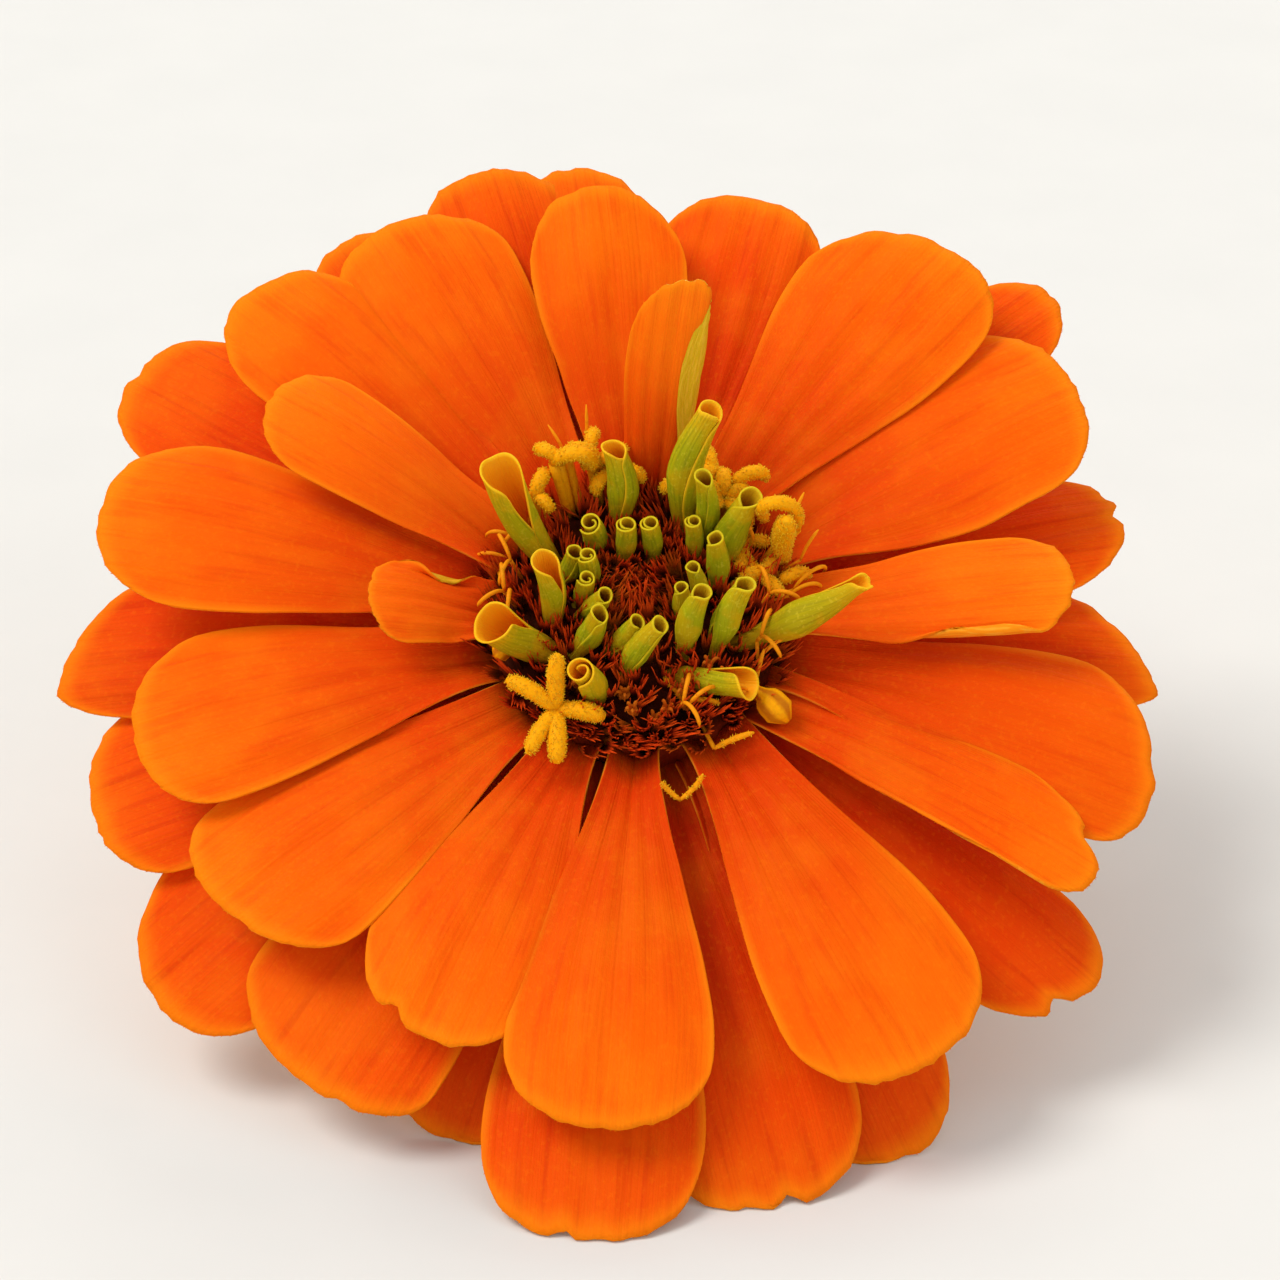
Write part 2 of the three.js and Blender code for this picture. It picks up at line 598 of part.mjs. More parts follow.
/** The green cup of overlapping bracts, with a socket for the stem. */
function involucre() {
  const profile = [
    new THREE.Vector2(0, SOCKET.roof),
    new THREE.Vector2(SOCKET.radius, SOCKET.roof),
    new THREE.Vector2(SOCKET.radius, CUP_FOOT),
  ];
  for (const share of [0, 0.1, 0.3, 0.6, 1]) {
    const height = mix(CUP_FOOT, CUP_TOP, share);
    profile.push(new THREE.Vector2(cupRadius(height), height));
  }
  profile.push(new THREE.Vector2(0, CUP_TOP));
  const cup = new THREE.LatheGeometry(profile, 18);
  cup.rotateX(Math.PI / 2);
  const bracts = [];
  BRACT_ROWS.forEach((row, k) => {
    for (let n = 0; n < row.count; n += 1) {
      bracts.push(bract((360 * (n + 0.5 * (k % 2))) / row.count, row));
    }
  });
  return fuse([solid(cup), ...bracts]);
}

/** The cut stem: faint ribs, and a swelling where it meets the cup. */
function stem() {
  const rings = [];
  for (const [height, size] of [[STEM.end, 1], [-24, 0.97], [-17, 1.0], [-13.6, 1.08], [STEM.top, 1.1]]) {
    const ring = [];
    for (let s = 0; s < 2 * STEM.ribs; s += 1) {
      const radius = STEM.radius * size + (s % 2 ? STEM.rib : -STEM.rib);
      ring.push(ringPoint((180 * s) / STEM.ribs, radius, height));
    }
    rings.push(ring);
  }
  return solid(limb(rings));
}

// ------------------------------------------------------------- the whole bloom

/** Leans the flower on the ground. */
function placement() {
  return new THREE.Matrix4().makeRotationX(rad(LEAN));
}

/** Everything below the ground, in the flower's own frame. */
function underGround() {
  const block = new THREE.BoxGeometry(300, 300, 60);
  block.translate(0, 0, GROUND - 30);
  block.applyMatrix4(placement().invert());
  return solid(block);
}

const ground = underGround();
const bloom = new THREE.Group();
bloom.rotation.x = rad(LEAN);
bloom.add(
  meshOf(stem().subtract(ground), 'stem', 0x5d7a2a, 0.65),
  meshOf(involucre(), 'involucre', 0x55702a, 0.7),
  meshOf(whorlOfRays(OUTER_RAYS, OUTER).subtract(ground), 'outer_rays', 0xef5a02, 0.6),
  meshOf(whorlOfRays(MIDDLE_RAYS, MIDDLE), 'middle_rays', 0xf76603, 0.6),
  meshOf(whorlOfRays(INNER_RAYS, INNER), 'inner_rays', 0xfa6e04, 0.6),
  meshOf(discFlorets(), 'disc_florets', 0xf0a000, 0.7),
  meshOf(youngRays(), 'young_rays', 0xa2a512, 0.55),
  meshOf(chaff(), 'chaff', 0x6a1a0c, 0.8),
);

const flower = new THREE.Group();
flower.add(bloom);
bloom.updateMatrixWorld(true);
const span = new THREE.Box3().setFromObject(bloom, true);
bloom.position.set(-(span.min.x + span.max.x) / 2, -(span.min.y + span.max.y) / 2, -span.min.z);

export default flower;
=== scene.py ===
"""A zinnia bloom: petals, rolled young rays, florets, chaff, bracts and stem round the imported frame."""
import logging
import math
from dataclasses import dataclass, field
from enum import Enum
from typing import Iterable, Optional, Sequence

import bpy
import mathutils
import numpy as np
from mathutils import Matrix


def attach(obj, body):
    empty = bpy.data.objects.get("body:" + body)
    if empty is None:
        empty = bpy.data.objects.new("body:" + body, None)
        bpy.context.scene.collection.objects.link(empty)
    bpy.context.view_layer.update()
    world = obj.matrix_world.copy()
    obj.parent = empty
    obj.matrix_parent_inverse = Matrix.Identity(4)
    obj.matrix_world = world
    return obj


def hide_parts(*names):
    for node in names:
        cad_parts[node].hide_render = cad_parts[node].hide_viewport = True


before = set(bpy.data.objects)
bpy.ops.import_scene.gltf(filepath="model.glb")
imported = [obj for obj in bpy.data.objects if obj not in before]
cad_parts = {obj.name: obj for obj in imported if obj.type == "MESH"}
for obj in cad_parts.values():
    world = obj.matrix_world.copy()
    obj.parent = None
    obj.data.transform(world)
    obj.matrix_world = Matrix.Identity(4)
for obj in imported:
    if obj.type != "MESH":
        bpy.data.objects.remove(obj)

LOG = logging.getLogger("zinnia")
MILLIMETRE = 0.001
FULL_TURN = 2.0 * math.pi
UP = np.array([0.0, 0.0, 1.0])
HAIR = 0.045
GOLDEN_ANGLE = 137.508

Array = np.ndarray
Values = Array | float
Spots = tuple[tuple[float, float], ...]
Colour = tuple[float, float, float]
Socket = bpy.types.NodeSocket
Material = bpy.types.Material
Thing = bpy.types.Object
Draw = np.random.Generator


# ----------------------------------------------------------------- arithmetic


def smoothstep(value: Values, low: float, high: float) -> Values:
    """Smooth ramp that leaves 0 where value is low and reaches 1 where it is high."""
    share = np.clip((value - low) / (high - low), 0.0, 1.0)
    return share * share * (3.0 - 2.0 * share)


def mix(start: Values, end: Values, share: Values) -> Values:
    """Straight blend from start to end by share."""
    return start + (end - start) * share


def ring_point(angle: float, radius: float, height: float) -> Array:
    """Point of the flower's own frame, its angle in degrees anticlockwise from the viewer's right."""
    turn = math.radians(angle)
    return np.array([radius * math.cos(turn), radius * math.sin(turn), height])


def level_way(angle: float) -> Array:
    """Level unit vector that heads at an angle, in degrees."""
    return ring_point(angle, 1.0, 0.0)


def revolved(radius: Values, angle: Array, height: Values) -> Array:
    """Points round the flower's axis, at radii, angles in radians and heights."""
    return np.stack(np.broadcast_arrays(radius * np.cos(angle), radius * np.sin(angle), height), -1)


def unit(ways: Array) -> Array:
    """Unit vectors that head as the given ones do."""
    return ways / np.maximum(np.linalg.norm(ways, axis=-1, keepdims=True), 1e-9)


def wavy(place: Array, seed: int) -> Array:
    """Smooth seeded one-dimensional noise.

    Args:
        place: where to read it; one wave is about two units long.
        seed: chooses the wave.

    Returns:
        Values from -1 to 1, the shape of place.
    """
    total = 512
    knots = np.random.default_rng(seed).uniform(-1.0, 1.0, total)
    base = np.floor(place).astype(int)
    share = smoothstep(place - base, 0.0, 1.0)
    return mix(knots[base % total], knots[(base + 1) % total], share)


def outline(place: Values, knots: Sequence[float], values: Sequence[float]) -> Array:
    """Smooth curve through values at knots.

    Args:
        place: where to read it.
        knots: rising places.
        values: the curve's values there.

    Returns:
        The curve's values, the shape of place.
    """
    reach = 8
    fine = np.linspace(knots[0], knots[-1], 121)
    kernel = np.hanning(2 * reach + 1)
    padded = np.pad(np.interp(fine, knots, values), reach, mode="edge")
    return np.interp(place, fine, np.convolve(padded, kernel / kernel.sum(), "valid"))


class Chance:
    """The small repeatable source of chance that the solids are also drawn with."""

    def __init__(self, seed: int) -> None:
        """Start from a seed."""
        self.state = seed

    def __call__(self) -> float:
        """Next draw, from 0 to 1."""
        self.state = (self.state * 1664525 + 1013904223) % 4294967296
        return self.state / 4294967296


@dataclass(frozen=True)
class Placement:
    """How the flower's own frame lies in the row frame.

    Args:
        lean: degrees between the flower's axis and upright.
        head: the head's centre in the row frame, in millimetres.
    """

    lean: float = 30.0
    head: tuple[float, float, float] = (2.323, 2.940, 31.30)

    def world(self, points: Array) -> Array:
        """Carry points from the flower's own frame to the row frame.

        Args:
            points: points in the flower's frame, in millimetres.

        Returns:
            The points in the row frame, in metres.
        """
        turn = math.radians(self.lean)
        points = np.asarray(points, float)
        across = points[..., 0]
        back = points[..., 1] * math.cos(turn) - points[..., 2] * math.sin(turn)
        up = points[..., 1] * math.sin(turn) + points[..., 2] * math.cos(turn)
        return (np.stack([across, back, up], -1) + np.array(self.head)) * MILLIMETRE

    def grounded(self, points: Array, clear: float = 0.0) -> Array:
        """Press points up that lie too low.

        Args:
            points: points in the flower's frame, in millimetres.
            clear: how far above the ground the lowest may lie.

        Returns:
            The points, still in the flower's frame.
        """
        turn = math.radians(self.lean)
        upright = np.array([0.0, math.sin(turn), math.cos(turn)])
        lack = np.clip(clear - self.head[2] - points @ upright, 0.0, None)
        return points + lack[..., None] * upright


PLACE = Placement()


# ---------------------------------------------------------------- mesh making


@dataclass
class Skin:
    """A mesh in the making, with the measures that its finish reads.

    The measures are point attributes: along and across a blade, under for its
    lower face, edge near its rim, tone for the blade's own shade, and green
    for how green its back is.
    """

    points: list[Array] = field(default_factory=list)
    faces: list[tuple[int, ...]] = field(default_factory=list)
    measures: dict[str, list[Array]] = field(default_factory=dict)
    count: int = 0

    NAMES = ("along", "across", "under", "edge", "tone", "green")

    def add(self, points: Array, faces: Iterable[Sequence[int]], **measures: Values) -> None:
        """Add a piece.

        Args:
            points: its corners, in the flower's frame.
            faces: its faces, numbered within the piece.
            measures: values of the finish's measures, one or one for each corner.
        """
        total = len(points)
        self.points.append(points)
        self.faces.extend(tuple(self.count + n for n in face) for face in faces)
        for name in self.NAMES:
            value = measures.get(name, 0.0)
            self.measures.setdefault(name, []).append(np.broadcast_to(value, (total,)).astype(float))
        self.count += total

    def mesh_object(self, name: str, smooth: bool = True) -> Thing:
        """Make the Blender object.

        Args:
            name: the object's name.
            smooth: whether its faces are shaded smooth.

        Returns:
            The object, in the row frame.
        """
        mesh = bpy.data.meshes.new(name)
        mesh.from_pydata(PLACE.world(np.concatenate(self.points)).tolist(), [], self.faces)
        for key, values in self.measures.items():
            layer = mesh.attributes.new(key, "FLOAT", "POINT")
            layer.data.foreach_set("value", np.concatenate(values).astype(np.float32))
        mesh.polygons.foreach_set("use_smooth", [smooth] * len(mesh.polygons))
        mesh.update()
        return linked(name, mesh)


def linked(name: str, data: bpy.types.ID) -> Thing:
    """Make an object round its data and put it in the scene.

    Args:
        name: the object's name.
        data: its mesh, light or camera.

    Returns:
        The object.
    """
    thing = bpy.data.objects.new(name, data)
    bpy.context.scene.collection.objects.link(thing)
    return thing


def grid_faces(
    rows: int, lanes: int, start: int = 0, flip: bool = False, ring: bool = False
) -> list[tuple[int, ...]]:
    """Quads of a grid of points.

    Args:
        rows: points along it.
        lanes: points across it.
        start: number of its first point.
        flip: turn the faces over.
        ring: join the last lane to the first.

    Returns:
        The quads.
    """
    faces = []
    for i in range(rows - 1):
        for j in range(lanes if ring else lanes - 1):
            k = (j + 1) % lanes
            here, after = start + i * lanes, start + (i + 1) * lanes
            quad = (here + j, after + j, after + k, here + k)
            faces.append(quad[::-1] if flip else quad)
    return faces


def grid_normals(grid: Array) -> Array:
    """Unit normals of a grid of points.

    Args:
        grid: rows by lanes of points.

    Returns:
        A normal for each point.
    """
    along = np.gradient(grid, axis=0)
    across = np.gradient(grid, axis=1)
    return unit(np.cross(along, across))


def add_blade(skin: Skin, grid: Array, thick: Values, **measures: Values) -> None:
    """Add a thin closed blade round a grid of points.

    Args:
        skin: the mesh in the making.
        grid: rows by lanes of points, the blade's middle surface.
        thick: its thickness, one or one for each point.
        measures: values for the finish, one or rows by lanes.
    """
    rows, lanes = grid.shape[:2]
    normal = grid_normals(grid) * (np.broadcast_to(thick, (rows, lanes))[..., None] / 2)
    top = (grid + normal).reshape(-1, 3)
    low = (grid - normal).reshape(-1, 3)
    total = rows * lanes
    faces = grid_faces(rows, lanes) + grid_faces(rows, lanes, total, flip=True)
    rim = list(range(lanes - 1))
    rim += [i * lanes + lanes - 1 for i in range(rows - 1)]
    rim += [(rows - 1) * lanes + j for j in range(lanes - 1, 0, -1)]
    rim += [i * lanes for i in range(rows - 1, 0, -1)]
    for here, after in zip(rim, rim[1:] + rim[:1]):
        faces.append((here, after, total + after, total + here))
    doubled = {}
    for name, value in measures.items():
        doubled[name] = np.tile(np.broadcast_to(value, (rows, lanes)).ravel(), 2)
    doubled["under"] = np.repeat([0.0, 1.0], total)
    skin.add(np.concatenate([top, low]), faces, **doubled)


def frame_along(path: Array, broad: Array) -> tuple[Array, Array, Array]:
    """Directions along, across and above a path of points.

    Args:
        path: the points.
        broad: the side that across keeps near to.

    Returns:
        Unit vectors along, across and above, one for each point.
    """
    along = unit(np.gradient(path, axis=0))
    across = unit(broad - along * (along @ broad)[:, None])
    return along, across, np.cross(along, across)


def add_limb(
    skin: Skin, path: Array, wide: Array, thick: Array, broad: Array, sides: int, **measures: Values
) -> None:
    """Add a closed limb round a path.

    Args:
        skin: the mesh in the making.
        path: points along its middle.
        wide: half width at each point.
        thick: half thickness at each point.
        broad: the side its width keeps to.
        sides: corners round it.
        measures: values for the finish.
    """
    _, across, above = frame_along(path, broad)
    angle = np.linspace(0.0, FULL_TURN, sides, endpoint=False)
    ring = across[:, None] * (np.cos(angle)[None, :, None] * np.asarray(wide)[:, None, None])
    ring = ring + above[:, None] * (np.sin(angle)[None, :, None] * np.asarray(thick)[:, None, None])
    points = (path[:, None] + ring).reshape(-1, 3)
    rows = len(path)
    faces = grid_faces(rows, sides, ring=True, flip=True)
    faces.append(tuple(range(sides))[::-1])
    faces.append(tuple((rows - 1) * sides + s for s in range(sides)))
    spot = np.repeat(np.linspace(0.0, 1.0, rows), sides)
    measures.setdefault("along", spot)
    skin.add(points, faces, **measures)


def add_hairs(
    skin: Skin, roots: Array, ways: Array, long: Array, wide: float, **measures: Values
) -> None:
    """Add small pointed hairs.

    Args:
        skin: the mesh in the making.
        roots: where they stand.
        ways: unit vectors that they follow.
        long: their lengths.
        wide: half width at the root.
        measures: values for the finish, one for each hair.
    """
    slanted = np.array([0.31, 0.55, 0.77])
    side = unit(np.cross(ways, slanted))
    other = np.cross(ways, side)
    count = len(roots)
    corners = [roots + wide * (math.cos(a) * side + math.sin(a) * other) for a in (0.0, 2.1, 4.2)]
    tip = roots + ways * np.asarray(long)[:, None]
    points = np.stack([*corners, tip], 1).reshape(-1, 3)
    spike = ((0, 1, 3), (1, 2, 3), (2, 0, 3), (0, 2, 1))
    faces = [tuple(4 * n + corner for corner in face) for n in range(count) for face in spike]
    spread = {name: np.repeat(np.broadcast_to(value, (count,)), 4) for name, value in measures.items()}
    spread.setdefault("along", np.tile([0.0, 0.0, 0.0, 1.0], count))
    skin.add(points, faces, **spread)


# ------------------------------------------------------------------- finishes


class Sheet:
    """A material in the making: its nodes and the wires between them."""

    MIX_FIRST, MIX_SECOND, MIX_RESULT = 6, 7, 2

    def __init__(self, name: str) -> None:
        """Start a material with its shader and output.

        Args:
            name: the material's name.
        """
        self.material = bpy.data.materials.new(name)
        self.material.use_nodes = True
        self.tree = self.material.node_tree
        self.shader = self.tree.nodes["Principled BSDF"]

    def node(self, kind: str, **settings: object) -> bpy.types.Node:
        """Add a node of a kind, with its settings.

        Args:
            kind: Blender's name for the node.
            settings: its settings, by name.

        Returns:
            The node.
        """
        made = self.tree.nodes.new(kind)
        for name, value in settings.items():
            setattr(made, name, value)
        return made

    def wire(self, start: Socket, end: Socket) -> None:
        """Join two sockets."""
        self.tree.links.new(start, end)

    def measure(self, name: str) -> Socket:
        """Socket that gives one of the mesh's measures."""
        return self.node("ShaderNodeAttribute", attribute_name=name).outputs["Fac"]

    def ramp(self, source: Socket, stops: Sequence[tuple[float, Colour]]) -> Socket:
        """Colours along a value.

        Args:
            source: the value.
            stops: places and colours.

        Returns:
            The colour's socket.
        """
        made = self.node("ShaderNodeValToRGB")
        band = made.color_ramp.elements
        while len(band) < len(stops):
            band.new(0.5)
        for element, (place, colour) in zip(band, stops):
            element.position = place
            element.color = (*colour, 1.0)
        self.wire(source, made.inputs["Fac"])
        return made.outputs["Color"]

    def span(
        self, source: Socket, low: float, high: float, start: float = 0.0, end: float = 1.0
    ) -> Socket:
        """A value carried from one range to another, smoothly.

        Args:
            source: the value.
            low: where the range starts.
            high: where it ends.
            start: what low becomes.
            end: what high becomes.

        Returns:
            The new value's socket.
        """
        made = self.node("ShaderNodeMapRange", interpolation_type="SMOOTHSTEP")
        for name, value in (("From Min", low), ("From Max", high), ("To Min", start), ("To Max", end)):
            made.inputs[name].default_value = value
        self.wire(source, made.inputs["Value"])
        return made.outputs["Result"]

    def plain(self, colour: Colour) -> Socket:
        """Socket that gives one colour.

        Args:
            colour: the colour.

        Returns:
            The colour's socket.
        """
        made = self.node("ShaderNodeRGB")
        made.outputs["Color"].default_value = (*colour, 1.0)
        return made.outputs["Color"]

    def scaled(self, value: Socket, factor: float) -> Socket:
        """A value times a factor.

        Args:
            value: the value.
            factor: what it is multiplied by.

        Returns:
            The product's socket.
        """
        made = self.node("ShaderNodeMath", operation="MULTIPLY")
        self.wire(value, made.inputs[0])
        made.inputs[1].default_value = factor
        return made.outputs[0]

    def blend(self, share: Socket, first: Socket, second: Socket | Colour) -> Socket:
        """Blend of two colours.

        Args:
            share: how much of the second.
            first: the first colour.
            second: the second colour.

        Returns:
            The colour's socket.
        """
        made = self.node("ShaderNodeMix", data_type="RGBA")
        self.wire(share, made.inputs["Factor"])
        self.wire(first, made.inputs[self.MIX_FIRST])
        if isinstance(second, tuple):
            made.inputs[self.MIX_SECOND].default_value = (*second, 1.0)
        else:
            self.wire(second, made.inputs[self.MIX_SECOND])
        return made.outputs[self.MIX_RESULT]

    def tint(self, colour: Socket, mask: Socket, strength: float, other: Socket | Colour) -> Socket:
        """A colour turned towards another one by a mask times a strength."""
        return self.blend(self.scaled(mask, strength), colour, other)

    def blade_grain(self, long: float, wide: float, detail: float = 2.0) -> Socket:
        """Streaks that run along a blade.

        Args:
            long: how many waves along it.
            wide: how many waves across it.
            detail: fineness of the noise.

        Returns:
            The noise's value socket.
        """
        shift = 37.0
        spot = self.node("ShaderNodeCombineXYZ")
        self.wire(self.scaled(self.measure("along"), long), spot.inputs["X"])
        self.wire(self.scaled(self.measure("across"), wide), spot.inputs["Y"])
        self.wire(self.scaled(self.measure("tone"), shift), spot.inputs["Z"])
        return self.grain(1.0, detail, spot.outputs["Vector"])

    def grain(self, scale: float, detail: float = 2.0, spot: Optional[Socket] = None) -> Socket:
        """Even noise.

        Args:
            scale: waves in a metre, where no spot is given.
            detail: fineness of the noise.
            spot: where to read it, or None for the object's own place.

        Returns:
            The noise's value socket.
        """
        made = self.node("ShaderNodeTexNoise")
        made.inputs["Scale"].default_value = scale
        made.inputs["Detail"].default_value = detail
        if spot is None:
            spot = self.node("ShaderNodeTexCoord").outputs["Object"]
        self.wire(spot, made.inputs["Vector"])
        return made.outputs["Fac"]

    def emboss(self, heights: Sequence[tuple[Socket, float]]) -> None:
        """Raise the surface by values.

        Args:
            heights: the values, each with its height in millimetres.
        """
        before: Optional[Socket] = None
        for value, height in heights:
            made = self.node("ShaderNodeBump")
            made.inputs["Strength"].default_value = 1.0
            made.inputs["Distance"].default_value = height * MILLIMETRE
            self.wire(value, made.inputs["Height"])
            if before is not None:
                self.wire(before, made.inputs["Normal"])
            before = made.outputs["Normal"]
        self.wire(before, self.shader.inputs["Normal"])

    def settle(self, colour: Socket, rough: Socket | float, **values: float) -> Material:
        """Finish the material.

        Args:
            colour: its colour.
            rough: its roughness.
            values: other values of the shader, by name with _ for a space.

        Returns:
            The material.
        """
        self.wire(colour, self.shader.inputs["Base Color"])
        if isinstance(rough, float):
            self.shader.inputs["Roughness"].default_value = rough
        else:
            self.wire(rough, self.shader.inputs["Roughness"])
        for name, value in values.items():
            self.shader.inputs[name.replace("_", " ")].default_value = value
        return self.material


def mixed(first: Colour, second: Colour, share: float) -> Colour:
    """Colour between two colours."""
    return tuple(mix(a, b, share) for a, b in zip(first, second))


def shaded(colour: Colour, share: float) -> Colour:
    """Colour darkened to a share of itself."""
    return tuple(value * share for value in colour)


@dataclass(frozen=True)
class Body:
    """How light meets a finish: its shine, how much light enters it, how deep, and the depth by colour."""

    shine: float
    glow: float = 0.0
    depth: float = 0.0
    reach: Colour = (1.0, 0.2, 0.1)

    def settle(self, sheet: Sheet, colour: Socket, rough: Socket | float) -> Material:
        """Finish a material with its colour and roughness.

        Args:
            sheet: the material in the making.
            colour: its colour.
            rough: its roughness.

        Returns:
            The material.
        """
        if self.glow == 0.0:
            return sheet.settle(colour, rough, Specular_IOR_Level=self.shine)
        sheet.shader.inputs["Subsurface Radius"].default_value = self.reach
        inside = {"Subsurface_Weight": self.glow, "Subsurface_Scale": self.depth}
        return sheet.settle(colour, rough, Specular_IOR_Level=self.shine, **inside)


@dataclass(frozen=True)
class PetalFinish:
    """Velvety orange petal: red at the claw, darkened at its root with painted shade and redder over its
    inner half partly with painted shade, paler at the rim, streaked along its veins.
    """

    name: str
    claw: Colour
    middle: Colour
    tip: Colour
    rim: Colour = (0.96, 0.27, 0.004)
    back: Colour = (0.86, 0.27, 0.008)
    green: Colour = (0.60, 0.40, 0.010)
    net: Colour = (0.88, 0.52, 0.05)
    body: Body = Body(0.03, 0.14, 0.0008, (1.0, 0.22, 0.02))

    def material(self) -> Material:
        """Make the material.

        Returns:
            The material.
        """
        sheet = Sheet(self.name)
        # Painted shade: the root is the claw darkened to about a third where it runs in under the petals
        # above. The inner half's red is partly the petal's own claw colour and partly painted shade from the
        # overlapping petals.
        root, claw_red_and_painted_shade = shaded(self.claw, 0.35), mixed(self.claw, self.middle, 0.5)
        stops = [(0.0, root), (0.10, self.claw), (0.45, claw_red_and_painted_shade), (0.78, self.middle), (1.0, self.tip)]
        colour = sheet.ramp(sheet.measure("along"), stops)
        streak = sheet.span(sheet.blade_grain(3.4, 9.0, 5.0), 0.48, 0.72)
        colour = sheet.tint(colour, streak, 0.42, self.claw)
        hairline = sheet.span(sheet.blade_grain(2.2, 42.0, 3.0), 0.52, 0.68)
        colour = sheet.tint(colour, hairline, 0.15, self.claw)
        cloud = sheet.span(sheet.grain(150.0, 3.0), 0.42, 0.7)
        colour = sheet.tint(colour, cloud, 0.18, self.rim)
        colour = sheet.tint(colour, sheet.measure("tone"), 0.45, self.claw)
        fleck = sheet.span(sheet.grain(2300.0, 2.0), 0.52, 0.72)
        colour = sheet.tint(colour, fleck, 0.10, self.rim)
        colour = sheet.tint(colour, sheet.measure("edge"), 0.55, self.rim)
        reverse = sheet.blend(sheet.measure("green"), sheet.plain(self.back), self.green)
        meshes = sheet.span(sheet.blade_grain(16.0, 34.0, 2.0), 0.46, 0.62)
        reverse = sheet.tint(reverse, meshes, 0.4, self.net)
        colour = sheet.tint(colour, sheet.measure("under"), 0.85, reverse)
        ridge = sheet.blade_grain(1.0, 26.0, 2.0)
        velvet = sheet.grain(5200.0, 1.0)
        sheet.emboss([(ridge, 0.09), (velvet, 0.03)])
        return self.body.settle(sheet, colour, sheet.span(velvet, 0.3, 0.7, 0.52, 0.68))


@dataclass(frozen=True)
class QuillFinish:
    """Rolled young ray: veined lime green outside, yellow at the mouth, orange inside, with painted shade
    darkening the inside of the narrow ones.
    """

    name: str = "rolled_ray_green"
    foot: Colour = (0.50, 0.25, 0.003)
    green: Colour = (0.36, 0.37, 0.004)
    mouth: Colour = (0.64, 0.40, 0.004)
    vein: Colour = (0.14, 0.20, 0.004)
    patch: Colour = (0.60, 0.36, 0.004)
    bead: Colour = (0.68, 0.58, 0.04)
    depth: Colour = (0.62, 0.10, 0.003)
    inside: Colour = (0.95, 0.28, 0.004)
    lip: Colour = (0.92, 0.50, 0.010)
    small_lip: Colour = (0.66, 0.50, 0.010)
    # Painted shade inside the narrow quills.
    hollow_shade: Colour = (0.46, 0.22, 0.005)
    body: Body = Body(0.07, 0.35, 0.0006, (0.9, 0.7, 0.1))

    def material(self) -> Material:
        """Make the material.

        Returns:
            The material.
        """
        sheet = Sheet(self.name)
        along = sheet.measure("along")
        broad = sheet.span(sheet.measure("tone"), 0.04, 0.09)
        stops = [(0.0, self.foot), (0.34, self.green), (0.70, self.green), (1.0, self.mouth)]
        outer = sheet.ramp(along, stops)
        vein = sheet.span(sheet.blade_grain(2.2, 20.0, 2.0), 0.46, 0.66)
        outer = sheet.tint(outer, vein, 0.45, self.vein)
        patch = sheet.span(sheet.grain(420.0, 3.0), 0.48, 0.64)
        outer = sheet.tint(outer, patch, 0.6, self.patch)
        bead = sheet.span(sheet.grain(3400.0, 1.0), 0.56, 0.7)
        outer = sheet.tint(outer, bead, 0.35, self.bead)
        stops = [(0.0, self.depth), (0.55, self.inside), (1.0, mixed(self.inside, self.lip, 0.5))]
        inner = sheet.ramp(along, stops)
        # Painted shade: narrow quills get a dark inside, darkest at the foot, where shade falls inside the
        # roll.
        deep_hollow_shade = shaded(self.hollow_shade, 0.5)
        stops = [(0.0, deep_hollow_shade), (0.7, self.hollow_shade), (1.0, mixed(self.hollow_shade, self.small_lip, 0.5))]
        small = sheet.ramp(along, stops)
        colour = sheet.blend(sheet.measure("under"), outer, sheet.blend(broad, small, inner))
        lip = sheet.blend(broad, sheet.plain(self.small_lip), self.lip)
        colour = sheet.tint(colour, sheet.measure("edge"), 0.9, lip)
        colour = sheet.tint(colour, sheet.measure("tone"), 0.7, mixed(self.mouth, self.inside, 0.45))
        sheet.emboss([(sheet.blade_grain(1.2, 24.0, 2.0), 0.08), (sheet.grain(5200.0, 1.0), 0.02)])
        return self.body.settle(sheet, colour, 0.45)


@dataclass(frozen=True)
class FloretFinish:
    """Fuzzy yellow lobes, deeper at the throat, with darker curled styles."""

    name: str = "floret_gold"
    throat: Colour = (0.50, 0.13, 0.002)
    lobe: Colour = (0.92, 0.38, 0.001)
    hair: Colour = (0.99, 0.55, 0.015)
    style: Colour = (0.80, 0.20, 0.006)
    body: Body = Body(0.07, 0.15, 0.0006, (1.0, 0.5, 0.08))

    def material(self) -> Material:
        """Make the material.

        Returns:
            The material.
        """
        sheet = Sheet(self.name)
        stops = [(0.0, self.throat), (0.35, self.lobe), (1.0, self.lobe)]
        colour = sheet.ramp(sheet.measure("along"), stops)
        colour = sheet.blend(sheet.measure("edge"), colour, self.hair)
        colour = sheet.blend(sheet.measure("tone"), colour, self.style)
        grain = sheet.grain(2600.0, 3.0)
        colour = sheet.tint(colour, sheet.span(grain, 0.5, 0.75), 0.3, self.throat)
        sheet.emboss([(grain, 0.09)])
        return self.body.settle(sheet, colour, 0.55)


